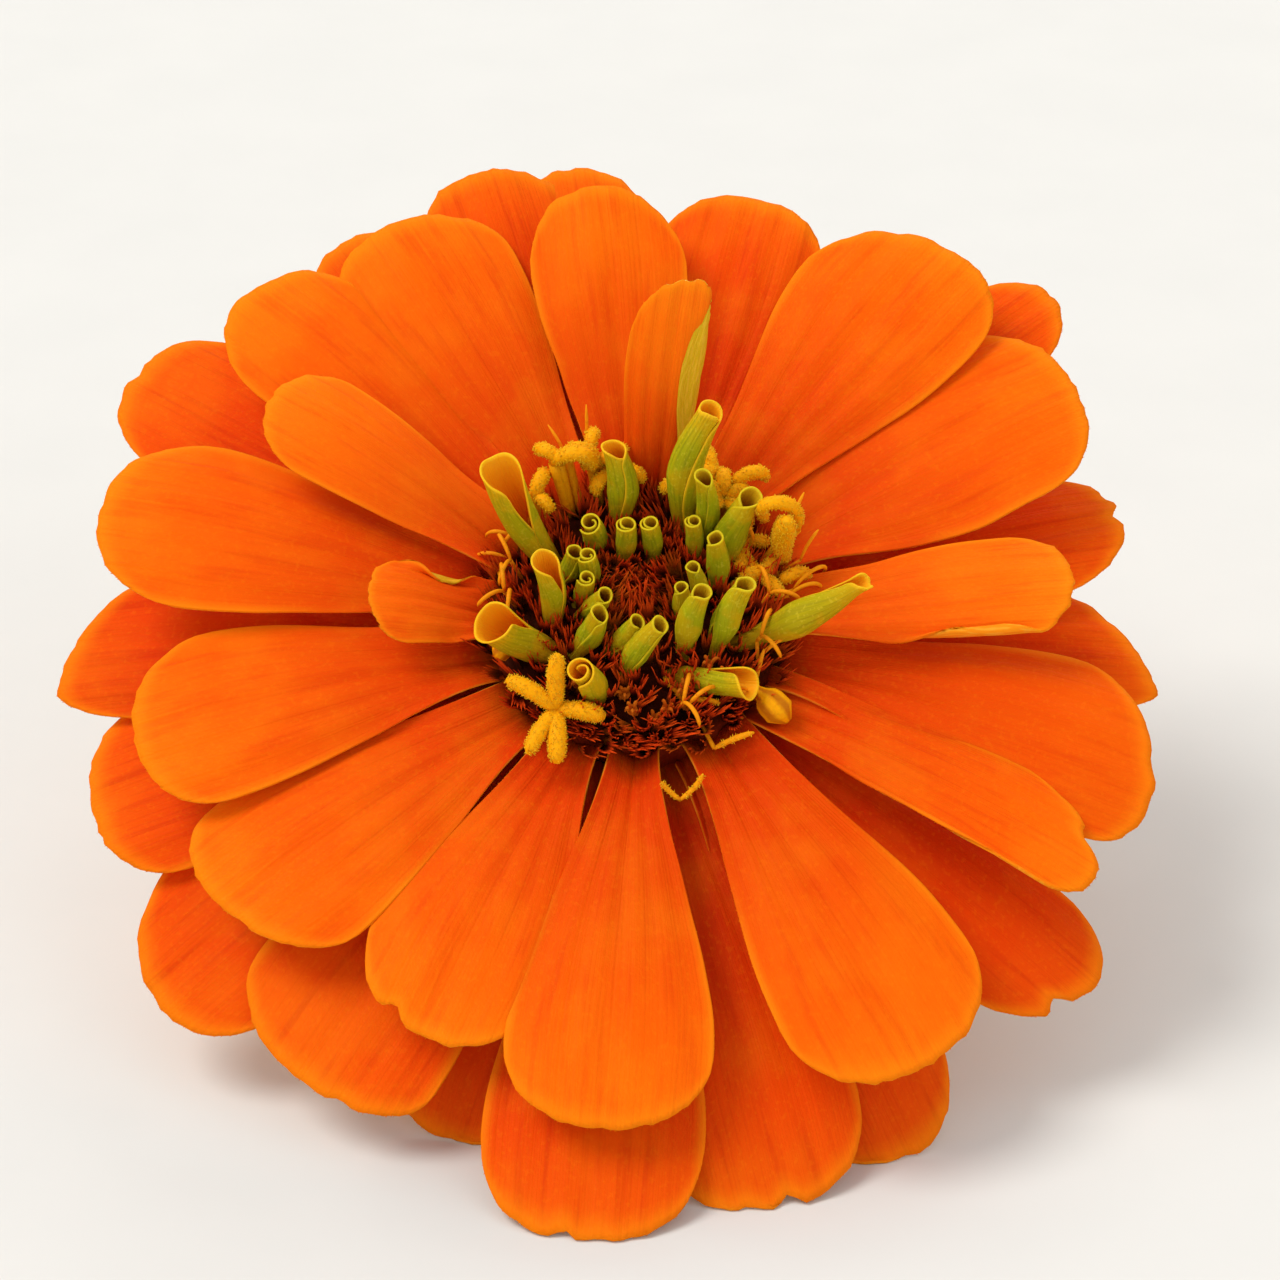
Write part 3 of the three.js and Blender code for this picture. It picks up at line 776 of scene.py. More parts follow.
@dataclass(frozen=True)
class ChaffFinish:
    """Chaffy scales: almost black with painted shade at their feet and on the dome between them, maroon, with
    bright red fringes.
    """

    name: str = "chaff_maroon"
    pit_shade: Colour = (0.016, 0.005, 0.001)
    scale: Colour = (0.26, 0.020, 0.003)
    fringe: Colour = (0.85, 0.085, 0.008)
    straw: Colour = (0.52, 0.14, 0.006)
    body: Body = Body(0.04)

    def material(self) -> Material:
        """Make the material.

        Returns:
            The material.
        """
        sheet = Sheet(self.name)
        # Painted shade: the feet of the scales and bristles and the dome between them are almost black where
        # shade falls among the scales.
        stops = [(0.0, self.pit_shade), (0.35, self.pit_shade), (0.62, self.scale), (0.95, self.fringe)]
        colour = sheet.ramp(sheet.measure("along"), stops)
        grain = sheet.grain(2400.0, 3.0)
        colour = sheet.tint(colour, grain, 0.3, self.scale)
        colour = sheet.blend(sheet.measure("tone"), colour, self.straw)
        sheet.emboss([(grain, 0.08)])
        return self.body.settle(sheet, colour, 0.6)


@dataclass(frozen=True)
class GreenFinish:
    """Green bracts or stem: veined along, with a dark ragged rim where there is an edge."""

    name: str
    low: Colour
    high: Colour
    rim: Colour = (0.035, 0.022, 0.010)
    vein: Colour = (0.4, 0.45, 0.12)
    pale: Colour = (0.42, 0.46, 0.20)
    veins: float = 14.0
    body: Body = Body(0.4, 0.08, 0.0008)

    def material(self) -> Material:
        """Make the material.

        Returns:
            The material.
        """
        sheet = Sheet(self.name)
        colour = sheet.ramp(sheet.measure("along"), [(0.0, self.low), (1.0, self.high)])
        vein = sheet.span(sheet.blade_grain(2.0, self.veins, 3.0), 0.42, 0.7)
        colour = sheet.tint(colour, vein, 0.4, mixed(self.high, self.vein, 0.5))
        colour = sheet.tint(colour, sheet.grain(900.0, 3.0), 0.35, self.low)
        colour = sheet.blend(sheet.measure("edge"), colour, self.rim)
        colour = sheet.blend(sheet.measure("tone"), colour, self.pale)
        ridge = sheet.blade_grain(1.5, self.veins * 1.6, 2.0)
        sheet.emboss([(ridge, 0.10), (sheet.grain(4200.0, 2.0), 0.03)])
        return self.body.settle(sheet, colour, 0.5)


@dataclass(frozen=True)
class FloorFinish:
    """Matt pale studio paper with a faint tooth."""

    name: str = "studio_paper"
    paper: Colour = (0.74, 0.73, 0.70)
    tooth: Colour = (0.6, 0.6, 0.58)
    body: Body = Body(0.15)

    def material(self) -> Material:
        """Make the material.

        Returns:
            The material.
        """
        sheet = Sheet(self.name)
        stops = [(0.3, mixed(self.paper, self.tooth, 0.12)), (0.7, self.paper)]
        return self.body.settle(sheet, sheet.ramp(sheet.grain(60.0, 4.0), stops), 0.85)


# ----------------------------------------------------------------- ray petals


@dataclass(frozen=True)
class Whorl:
    """The ring that a whorl of petals grows from: where claws root and emerge, in millimetres."""

    root: float
    bed: float
    rim: float
    level: float
    claw: float


class Side(Enum):
    """The edge of a petal that is folded over, seen from the head."""

    LEFT = 1
    RIGHT = -1


@dataclass(frozen=True)
class Fold:
    """A petal edge rolled up over the petal.

    Args:
        side: which edge.
        start: place across the petal where the roll starts, 0 to 1.
        radius: radius of the roll at its widest, in millimetres.
        turn: degrees that the edge is turned through.
        low: share of the length where it starts.
        high: share of the length where it is full.
        until: share of the length where it has died away.
        stretch: how much wider the rolled part is than the flat petal leaves it.
        taper: how much the roll narrows towards the petal's two ends, 0 to 1.
    """

    side: Side
    start: float
    radius: float
    turn: float
    low: float = 0.1
    high: float = 0.5
    stretch: float = 1.0
    until: float = 2.0
    taper: float = 0.0


@dataclass(frozen=True)
class Ray:
    """One ray petal, as in the solids, with the waves and folds that only show.

    Args:
        base: degrees round the head where its claw leaves.
        heading: degrees that it points to.
        long: length in millimetres.
        wide: greatest width.
        rise: slope at the base, degrees.
        fall: slope at the tip, degrees.
        round: share of the length that the rounded end takes.
        skew: how much longer the left edge is.
        notches: place, depth and half width of clefts in the tip.
        fold: a rolled edge.
        wave: height of its slow waves, in millimetres.
        tip: how far the tip curls up, in millimetres.
        tone: how much redder it is than its neighbours, 0 to 1.
        furrow: depth of the furrows along it.
        lift: how far it stands above its whorl.
        full: share of the length where it is as wide as it gets.
        green: how green its back is, 0 to 1.
        base_wide: how much wider its claw is than the whorl's claws.
        blunt: power of the tip's outline: 2.4 is broad and 1.3 pointed.
        apex: place across the petal that reaches furthest, -1 to 1.
    """

    base: float
    heading: float
    long: float
    wide: float
    rise: float
    fall: float
    round: float = 0.24
    skew: float = 0.0
    notches: tuple[tuple[float, float, float], ...] = ()
    fold: Optional[Fold] = None
    wave: float = 0.35
    tip: float = 0.0
    tone: float = 0.0
    furrow: float = 0.10
    lift: float = 0.0
    full: float = 0.8
    green: float = 0.0
    base_wide: float = 1.15
    blunt: float = 2.4
    apex: float = 0.0


@dataclass(frozen=True)
class Relief:
    """The small forms of every petal.

    Args:
        waver: how much its two edges wander, as a share of the width.
        stand: how far the edges of its claw stand up, in millimetres.
        furrows: how many furrows run along it on each side.
        groove: depth of the groove down its middle.
        groove_wide: half width of that groove, as a share of the width.
        ragged: depth of the slow waves in its tip.
        frayed: depth of the fine teeth in its tip.
    """

    waver: float = 0.018
    stand: float = 1.5
    furrows: float = 2.5
    groove: float = 0.22
    groove_wide: float = 0.16
    ragged: float = 0.28
    frayed: float = 0.10


@dataclass
class PetalWhorl:
    """A whorl of ray petals that stands for one node of the frame."""

    name: str
    node: str
    slot: str
    whorl: Whorl
    rays: tuple[Ray, ...]
    finish: PetalFinish
    rows: int = 50
    lanes: int = 35
    thick: float = 0.42
    dish: float = 1.0
    hairs: int = 220
    bare: int = 14
    relief: Relief = Relief()

    def reach(self, ray: Ray, lane: Array, seed: int) -> Array:
        """How far a petal reaches, with its clefts and ragged end.

        Args:
            ray: the petal.
            lane: places across it, -1 to 1.
            seed: chooses its ragged end.

        Returns:
            Its length along each lane.
        """
        off = np.abs(lane - ray.apex) / (1.0 + ray.apex * np.sign(ray.apex - lane))
        shoulder = 1.0 - np.sqrt(np.clip(1.0 - off**ray.blunt, 0.0, 1.0))
        reach = ray.long * (1.0 - ray.round * shoulder) + ray.skew * lane
        for place, depth, half in ray.notches:
            reach = reach - depth * np.exp(-(((lane - place) / half) ** 2))
        reach = reach - self.relief.ragged * np.abs(wavy(lane * 5.0 + 20.0, seed))
        return reach - self.relief.frayed * (1.0 + wavy(lane * 19.0 + 90.0, seed + 1))

    def surface(self, ray: Ray, seed: int) -> tuple[Array, Array, Array]:
        """The petal's middle surface.

        Args:
            ray: the petal.
            seed: chooses its waves.

        Returns:
            The grid of points, and each point's share of the length and place across.
        """
        rise, turn = math.radians(ray.rise), math.radians(ray.fall - ray.rise)
        steps = np.linspace(0.0, 1.0, self.rows)[:, None]
        lane = np.sin(np.linspace(-math.pi / 2, math.pi / 2, self.lanes))[None, :]
        lane = mix(np.linspace(-1.0, 1.0, self.lanes)[None, :], lane, 0.75)
        share = steps * self.reach(ray, lane, seed) / ray.long
        spread = smoothstep(share / ray.full, 0.0, 1.0) ** 0.85
        fullness = mix(self.whorl.claw * ray.base_wide / ray.wide, 1.0, spread)
        fullness = fullness * (1.0 + self.relief.waver * wavy(share * 7.0 + 40.0, seed + 2) * np.abs(lane))
        across = lane * ray.wide * fullness / 2.0
        above = -self.dish * lane**2 * fullness * smoothstep(share, 0.0, 0.4)
        above = above + self.relief.stand * lane**2 * (1.0 - smoothstep(share, 0.02, 0.38))
        furrows = ray.furrow * np.cos(FULL_TURN * self.relief.furrows * lane)
        above = above - furrows * smoothstep(share, 0.0, 0.2) * (1.0 - 0.45 * share)
        groove = self.relief.groove * np.exp(-((lane / self.relief.groove_wide) ** 2))
        above = above - groove * (1.0 - 0.7 * share)
        above = above + ray.wave * share**2 * wavy(lane * 1.6 + 2.2 * share + 7.0, seed + 3)
        above = above + 0.5 * ray.wave * share * wavy(share * 3.0 + 11.0 + 0.5 * lane, seed + 4)
        above = above + ray.tip * smoothstep(share, 0.72, 1.0) ** 1.4
        if ray.fold is not None:
            across, above = self.folded(ray.fold, across, above, share)
        slope = rise + turn * share
        run = ray.long / turn * (np.sin(slope) - math.sin(rise))
        climb = -ray.long / turn * (np.cos(slope) - math.cos(rise))
        outward, sideways = level_way(ray.heading), level_way(ray.heading + 90.0)
        start = ring_point(ray.base, self.whorl.rim, self.whorl.level + ray.lift)
        grid = start + outward * (run - above * np.sin(slope))[..., None] + sideways * across[..., None]
        grid = grid + UP * (climb + above * np.cos(slope))[..., None]
        foot = ring_point(ray.base, self.whorl.root, self.whorl.bed)
        root = foot + sideways * (lane[0] * self.whorl.claw / 2.4)[:, None]
        fore = mix(root[None], grid[:1], np.array([0.0, 0.5])[:, None, None])
        grid = PLACE.grounded(np.concatenate([fore, grid]), self.thick / 2.0)
        share = np.concatenate([np.zeros((2, self.lanes)), share])
        return grid, share, np.broadcast_to(lane, share.shape)

    @staticmethod
    def folded(fold: Fold, across: Array, above: Array, share: Array) -> tuple[Array, Array]:
        """Roll one edge of a petal up.

        Args:
            fold: the roll.
            across: place of each point across the petal.
            above: its height over the petal's slope.
            share: its share of the length.

        Returns:
            The new across and above.
        """
        side = fold.side.value
        half = np.max(np.abs(across), axis=1, keepdims=True)
        strength = smoothstep(share, fold.low, fold.high)
        strength = strength * (1.0 - smoothstep(share, fold.until - 0.3, fold.until))
        start = fold.start * half
        narrow = mix(1.0, np.clip(np.sin(math.pi * share**1.25), 0.0, 1.0) ** 0.8, fold.taper)
        past = np.clip(side * across - start, 0.0, None) * mix(1.0, fold.stretch, strength) * narrow
        radius = fold.radius
        bend = np.minimum(past / radius, math.radians(fold.turn) * strength)
        straight = past - radius * bend
        reach = radius * np.sin(bend) + straight * np.cos(bend)
        climb = radius * (1.0 - np.cos(bend)) + straight * np.sin(bend)
        rolled = past > 0.0
        return np.where(rolled, side * (start + reach), across), above + np.where(rolled, climb, 0.0)

    def add_fringe(self, skin: Skin, grid: Array, tone: float, seed: int) -> None:
        """Add the short hairs along a petal's rim.

        Args:
            skin: the mesh in the making.
            grid: the petal's middle surface.
            tone: its tone.
            seed: chooses the hairs.
        """
        draw = np.random.default_rng(seed)
        rim = np.concatenate([grid[self.bare :, 0], grid[-1, 1:-1], grid[: self.bare : -1, -1]])
        inner = np.concatenate([grid[self.bare :, 1], grid[-2, 1:-1], grid[: self.bare : -1, -2]])
        place = draw.uniform(0.0, len(rim) - 1.001, self.hairs)
        near = place.astype(int)
        roots = mix(rim[near], rim[near + 1], (place - near)[:, None])
        ways = unit(unit(rim[near] - inner[near]) + draw.normal(0.0, 0.4, (self.hairs, 3)))
        long = draw.uniform(0.10, 0.24, self.hairs)
        clear = PLACE.world(roots + ways * long[:, None])[:, 2] > 0.1 * MILLIMETRE
        roots, ways, long = (roots - 0.05 * ways)[clear], ways[clear], long[clear]
        add_hairs(skin, roots, ways, long, HAIR, along=0.8, edge=1.0, tone=tone)

    def build(self) -> Thing:
        """Build the whorl, dress it and set it in the frame's place.

        Returns:
            The whorl.
        """
        skin = Skin()
        for number, ray in enumerate(self.rays):
            grid, share, lane = self.surface(ray, 100 * number + len(self.name))
            thick = self.thick * (1.0 - 0.5 * np.abs(lane) ** 4) * (1.0 - 0.4 * smoothstep(share, 0.8, 1.0))
            steps = np.linspace(0.0, 1.0, share.shape[0])[:, None]
            edge = np.maximum(smoothstep(np.abs(lane), 0.88, 1.0), smoothstep(steps, 0.94, 1.0))
            edge = edge * smoothstep(share, 0.3, 0.6)
            tone = ray.tone + 0.001 * number
            add_blade(skin, grid, thick, along=share, across=lane, edge=edge, tone=tone, green=ray.green)
            self.add_fringe(skin, grid, tone, number + len(self.node))
        return dressed(skin.mesh_object(self.name), self.finish.material(), self.slot, self.node)


def dressed(thing: Thing, material: Material, slot: str, *nodes: str) -> Thing:
    """Give a piece its finish and its place on the frame.

    Args:
        thing: the piece.
        material: its finish.
        slot: the record's slot that the finish belongs to; not used.
        nodes: the frame's nodes that it stands for.

    Returns:
        The piece.
    """
    thing.data.materials.append(material)
    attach(thing, "root")
    if nodes:
        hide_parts(*nodes)
    LOG.info("%s: %d points", thing.name, len(thing.data.vertices))
    return thing


OUTER_RAYS = (
    Ray(107, 107.3, 32.6, 13.1, 26, 2, 0.16, skew=0.8, wave=0.5),
    Ray(96, 98.5, 32, 12.5, 25, 2, 0.22),
    Ray(75, 76, 29.7, 14.5, 26, 2, 0.20, furrow=0.22),
    Ray(46, 39.7, 35.5, 12, 20, -4, 0.38, tone=0.2),
    Ray(16, 14.5, 30, 11.8, 12, -8, 0.30, skew=0.8, notches=((0.1, 0.9, 0.10), (0.45, 0.6, 0.08)),
        tone=0.35, full=0.5, base_wide=2.0),
    Ray(-4, 2.5, 31.0, 12.2, 4, -14, 0.34, tone=0.5, blunt=1.35, apex=-0.7),
    Ray(-46, -37.8, 34.9, 12.4, 0, -20, 0.24, skew=1.4, notches=((-0.25, 1.3, 0.12),), tone=0.75),
    Ray(-66, -62, 36.5, 14, -2, -29, 0.24, tone=0.45),
    Ray(-80, -75.5, 37.3, 16.5, 0, -22, 0.20, notches=((0.1, 1.2, 0.10), (-0.3, 0.6, 0.08)), tone=0.3),
    Ray(-96, -94, 39.1, 17.5, -2, -12, 0.20, notches=((-0.2, 0.9, 0.08), (0.12, 0.5, 0.06)), tone=0.25),
    Ray(-109, -111, 32.8, 15, -3, -37, 0.24, tone=0.6),
    Ray(-125, -125.7, 33.8, 18.8, 0, -20, 0.17, skew=0.6, notches=((0.35, 0.5, 0.08),), tone=0.1),
    Ray(-143, -144.3, 37.2, 17.2, -2, -24, 0.28, skew=0.6, tone=0.35),
    Ray(-157, -166.8, 35, 16, 2, -20, 0.20, tone=0.2),
    Ray(180, 177.3, 36.4, 14.5, 4, -18, 0.30, tone=0.6, blunt=1.7, apex=0.6),
    Ray(158, 146.6, 37.9, 14, 14, -10, 0.20, wave=0.9, tone=0.15),
    Ray(125, 124, 33, 13, 20, -4, 0.24, tone=0.15),
)

MIDDLE_RAYS = (
    Ray(92, 96, 27.6, 13.5, 34, 6, 0.30, skew=0.8, tone=0.1),
    Ray(57, 49.2, 30.7, 17, 30, 2, 0.24, skew=-1.6, furrow=0.16),
    Ray(34, 26.5, 30.3, 16.5, 26, 0, 0.24, tone=0.15, full=0.6, base_wide=1.35),
    Ray(-19, -16.8, 31.7, 15.5, 12, -14, 0.20, skew=-2.2, tone=0.85),
    Ray(-36, -29.4, 31.2, 9.5, 14, -12, 0.34, skew=-0.6, blunt=2.0, apex=-0.3,
        notches=((0.3, 1.1, 0.16),), fold=Fold(Side.RIGHT, 0.66, 0.9, 75, 0.05, 0.35, 1.2)),
    Ray(-60, -60, 32.8, 17, 10, -16, 0.24),
    Ray(-91, -94.5, 32, 16, 10, -16, 0.20, base_wide=0.8),
    Ray(-114, -115.5, 28, 15.5, 10, -16, 0.30, notches=((-0.35, 1.0, 0.12),), base_wide=0.95),
    Ray(-137, -144.5, 29.5, 16.5, 10, -16, 0.20, skew=-1.6),
    Ray(-164, -166, 30, 15.5, 14, -12, 0.24, skew=0.6),
    Ray(170, 167.8, 33.4, 15.5, 20, -6, 0.24),
    Ray(140, 138, 32.3, 13.5, 26, -2, 0.24, skew=0.6, lift=0.3),
    Ray(118, 121, 30.1, 15, 28, 0, 0.20, skew=1.0),
)

INNER_RAYS = (
    Ray(-1, 2, 24.5, 9.5, 22, 0, 0.24, full=0.7,
        fold=Fold(Side.RIGHT, 0.84, 0.28, 150, 0.34, 0.62, 1.7, 1.05)),
    Ray(152, 150.5, 24.5, 9.5, 34, 4, 0.24),
    Ray(82, 77.5, 20.8, 7.5, 74, 52, 0.24, skew=-1.4, green=1.0, full=0.6,
        fold=Fold(Side.RIGHT, 0.58, 0.32, 160, 0.0, 0.10, 1.5, taper=1.0)),
    Ray(181, 184, 11.6, 7.5, 40, 16, 0.30, green=0.8, tone=0.6,
        fold=Fold(Side.RIGHT, 0.78, 0.3, 155, 0.12, 0.38, 2.0, 0.75)),
)


# ----------------------------------------------------------------- young rays


class Roll(Enum):
    """How a young ray is rolled.

    Its turns at the foot and at the mouth, how far it closes in, its belly, neck
    and lip as shares of its width, and how much lower its margins end.
    """

    PLAIN = (1.32, 1.20, 0.20, 1.14, 0.76, 0.82, 0.17)
    SLIT = (0.88, 1.16, 0.16, 1.16, 0.74, 0.80, 0.12)
    SPIRAL = (1.70, 1.70, 0.60, 1.04, 0.92, 0.94, 0.12)
    OPEN = (1.10, 0.90, 0.05, 0.96, 1.02, 1.12, 0.18)
    TROUGH = (1.06, 0.80, 0.02, 1.00, 1.08, 1.20, 0.22)
    HORN = (1.06, 0.84, 0.03, 0.84, 1.04, 1.26, 0.20)
    POD = (1.16, 0.86, 0.10, 1.35, 0.62, 0.80, 0.10)


@dataclass(frozen=True)
class Quill:
    """One rolled young ray: where it leaves the dome, how it leans and how it is rolled.

    Its gap is the direction, in degrees round it, in which its margins meet:
    0 is the viewer's right and -90 towards the viewer.
    """

    angle: float
    radius: float
    lean: float
    toward: float
    long: float
    wide: float
    gap: float = -80.0
    roll: Roll = Roll.PLAIN
    tone: float = 0.0
    bow: float = 0.05


QUILLS = (
    Quill(102, 8.4, 17, 95, 8, 2.6, -40, tone=0.10, bow=0.08),
    Quill(62, 8.6, 20, 61, 13, 2.9, -30, tone=0.10, bow=-0.09),
    Quill(49.5, 8.1, 4, 90, 9.2, 1.9, -50),
    Quill(45, 6.4, 8, 87, 4.5, 1.7, -140, Roll.SPIRAL),
    Quill(15, 6.6, 11, 99, 6, 1.9, -150),
    Quill(29, 8.6, 18, 46, 8, 2.6, -135, tone=0.04, bow=-0.07),
    Quill(0, 5.1, 18, 124, 4, 1.6, -60),
    Quill(-25, 3.9, 13, 92, 3.5, 1.6, -130),
    Quill(-49, 5.9, 18, 50, 7, 2.2, -160, Roll.SLIT, bow=-0.05),
    Quill(-34, 7.6, 21, 36, 8.5, 2.3, -155, Roll.SLIT, bow=-0.04),
    Quill(-23, 8.9, 52, 8, 13, 2.3, 145, Roll.POD, tone=0.3, bow=0.05),
    Quill(-65, 7.3, 62, -23, 7.5, 2.5, 140, Roll.HORN, tone=0.20, bow=0.07),
    Quill(-98, 6.5, 26, 18, 7, 2.1, -30, bow=-0.05),
    Quill(-115, 5.1, 27, 5, 5, 1.8, -60),
    Quill(-163, 4.6, 26, -15, 4.5, 1.8, -100),
    Quill(181, 4.7, 10, 0, 3.8, 1.7, -60, Roll.SPIRAL),
    Quill(-138, 6.5, 21, 16, 5.5, 2.1, -70),
    Quill(-167, 7.1, 12, 108, 7.5, 2.2, -38, Roll.OPEN, tone=0.14),
    Quill(158, 6.4, 12, 0, 4.3, 1.8, -50),
    Quill(159, 4.1, 6, 120, 4, 1.8, -60, Roll.SPIRAL),
    Quill(121, 6.4, 9, -149, 4.3, 2.2, -40, Roll.SPIRAL),
    Quill(104, 4.4, 10, 70, 3.9, 2.0, -130, Roll.SPIRAL),
    Quill(74, 4.5, 10, 110, 4, 2.0, -150, Roll.SPIRAL),
    Quill(148, 8.4, 26, 143, 11, 3.0, -35, Roll.TROUGH, tone=0.12, bow=-0.06),
    Quill(-151, 8.5, 37, -174, 7, 3.4, 25, Roll.HORN, tone=0.25, bow=-0.06),
    Quill(-112, 8.8, 16, -150, 5.5, 2.8, 10, Roll.SPIRAL, tone=0.22),
)


@dataclass(frozen=True)
class Dome:
    """The domed receptacle: radii and heights of its outline, from its crown to its rim."""

    floor: float = 2.4
    radii: tuple[float, ...] = (0.0, 2.5, 5.0, 8.0, 10.9, 11.8, 12.4)
    heights: tuple[float, ...] = (5.1, 4.8, 4.0, 3.1, 2.7, 1.5, 0.2)

    def height(self, radius: Values) -> Values:
        """Height of the dome at a radius."""
        return np.interp(radius, self.radii, self.heights)


DOME = Dome()


@dataclass
class YoungRays:
    """The ring of green quills round the centre."""

    quills: tuple[Quill, ...] = QUILLS
    finish: QuillFinish = QuillFinish()
    rows: int = 34
    lanes: int = 56
    thick: float = 0.15
    sunk: float = 0.8

    def surface(self, quill: Quill, seed: int) -> tuple[Array, Array, Array]:
        """The rolled sheet of one quill.

        Args:
            quill: the quill.
            seed: chooses its small waves.

        Returns:
            The grid of points, and each point's share of the length and place across.
        """
        foot_turns, mouth_turns, close, belly, neck, lip, droop = quill.roll.value
        step = np.linspace(0.0, 1.0, self.rows)[:, None]
        lane = np.linspace(0.0, 1.0, self.lanes)[None, :]
        shoulder = 1.0 - np.sqrt(np.clip(1.0 - np.abs(2.0 * lane - 1.0) ** 2.2, 0.0, 1.0))
        end = 1.0 - droop * shoulder - 0.02 * (1.0 + wavy(lane * 7.0 + 3.0, seed))
        share = step * end
        turns = mix(foot_turns, mouth_turns, smoothstep(share, 0.25, 0.85))
        angle = math.radians(quill.gap) + math.pi * (1.0 - turns) + FULL_TURN * turns * lane
        angle = angle + 0.2 * wavy(share * 2.0, seed + 2)
        sizes = [0.55, 0.80, belly, mix(belly, neck, 0.45), neck, lip]
        swell = outline(share, [0.0, 0.2, 0.45, 0.7, 0.9, 1.0], sizes)
        swell = swell * (1.0 + 0.05 * wavy(share * 3.0 + 2.0 * lane, seed + 1))
        radius = (quill.wide / 2.0 - self.thick / 2.0) * swell * (1.0 - close * lane)
        lean = math.radians(quill.lean)
        way = ring_point(quill.toward, math.sin(lean), math.cos(lean))
        foot = ring_point(quill.angle, quill.radius, float(DOME.height(quill.radius))) - self.sunk * way
        side = np.cross(np.array([0.0, 1.0, 0.0]), way)
        side /= np.linalg.norm(side)
        other = np.cross(way, side)
        bow = quill.bow * quill.long * np.sin(math.pi * share)
        middle = foot + way * ((quill.long + self.sunk) * share)[..., None] + side * bow[..., None]
        round_way = side * np.cos(angle)[..., None] + other * np.sin(angle)[..., None]
        grid = middle + round_way * radius[..., None]
        return grid[:, ::-1], share, np.broadcast_to(lane * 2.0 - 1.0, share.shape)

    def build(self) -> Thing:
        """Build the quills, dress them and set them in the frame's place.

        Returns:
            The quills.
        """
        skin = Skin()
        for number, quill in enumerate(self.quills):
            grid, share, lane = self.surface(quill, 31 * number + 5)
            steps = np.linspace(0.0, 1.0, self.rows)[:, None]
            edge = np.maximum(smoothstep(np.abs(lane), 0.97, 1.0), smoothstep(steps, 0.965, 1.0))
            tone = quill.tone + 0.001 * number
            add_blade(skin, grid, self.thick, along=share, across=lane, edge=edge, tone=tone)
        rays = skin.mesh_object("rolled_young_rays")
        return dressed(rays, self.finish.material(), "quill_green", "young_rays")


# --------------------------------------------------------------- disc florets


class Stage(Enum):
    """How far a floret is: lobes, their length, width, slope at the start and curl in degrees.

    A bud has no lobes. Its length is how far it reaches out, its width is its radius.
    """

    OPEN = (5, 3.3, 0.62, 74.0, 185.0)
    LOW = (4, 2.4, 0.55, 35.0, 80.0)
    BUD = (0, 5.5, 1.25, 0.0, 0.0)
    KNOB = (0, 2.0, 0.80, 0.0, 0.0)


@dataclass(frozen=True)
class Curl:
    """A long fleshy finger: where it starts and heads, its length, thickness and bend, and its fuzz.

    Its late is the power of its bend along its length: 1 is an even bend, and
    more than 1 bends it towards its tip.
    """

    angle: float
    radius: float
    height: float
    turn: float
    long: float
    half: float
    slope: float
    curl: float
    fuzz: int = 0
    tone: float = 0.0
    late: float = 1.25


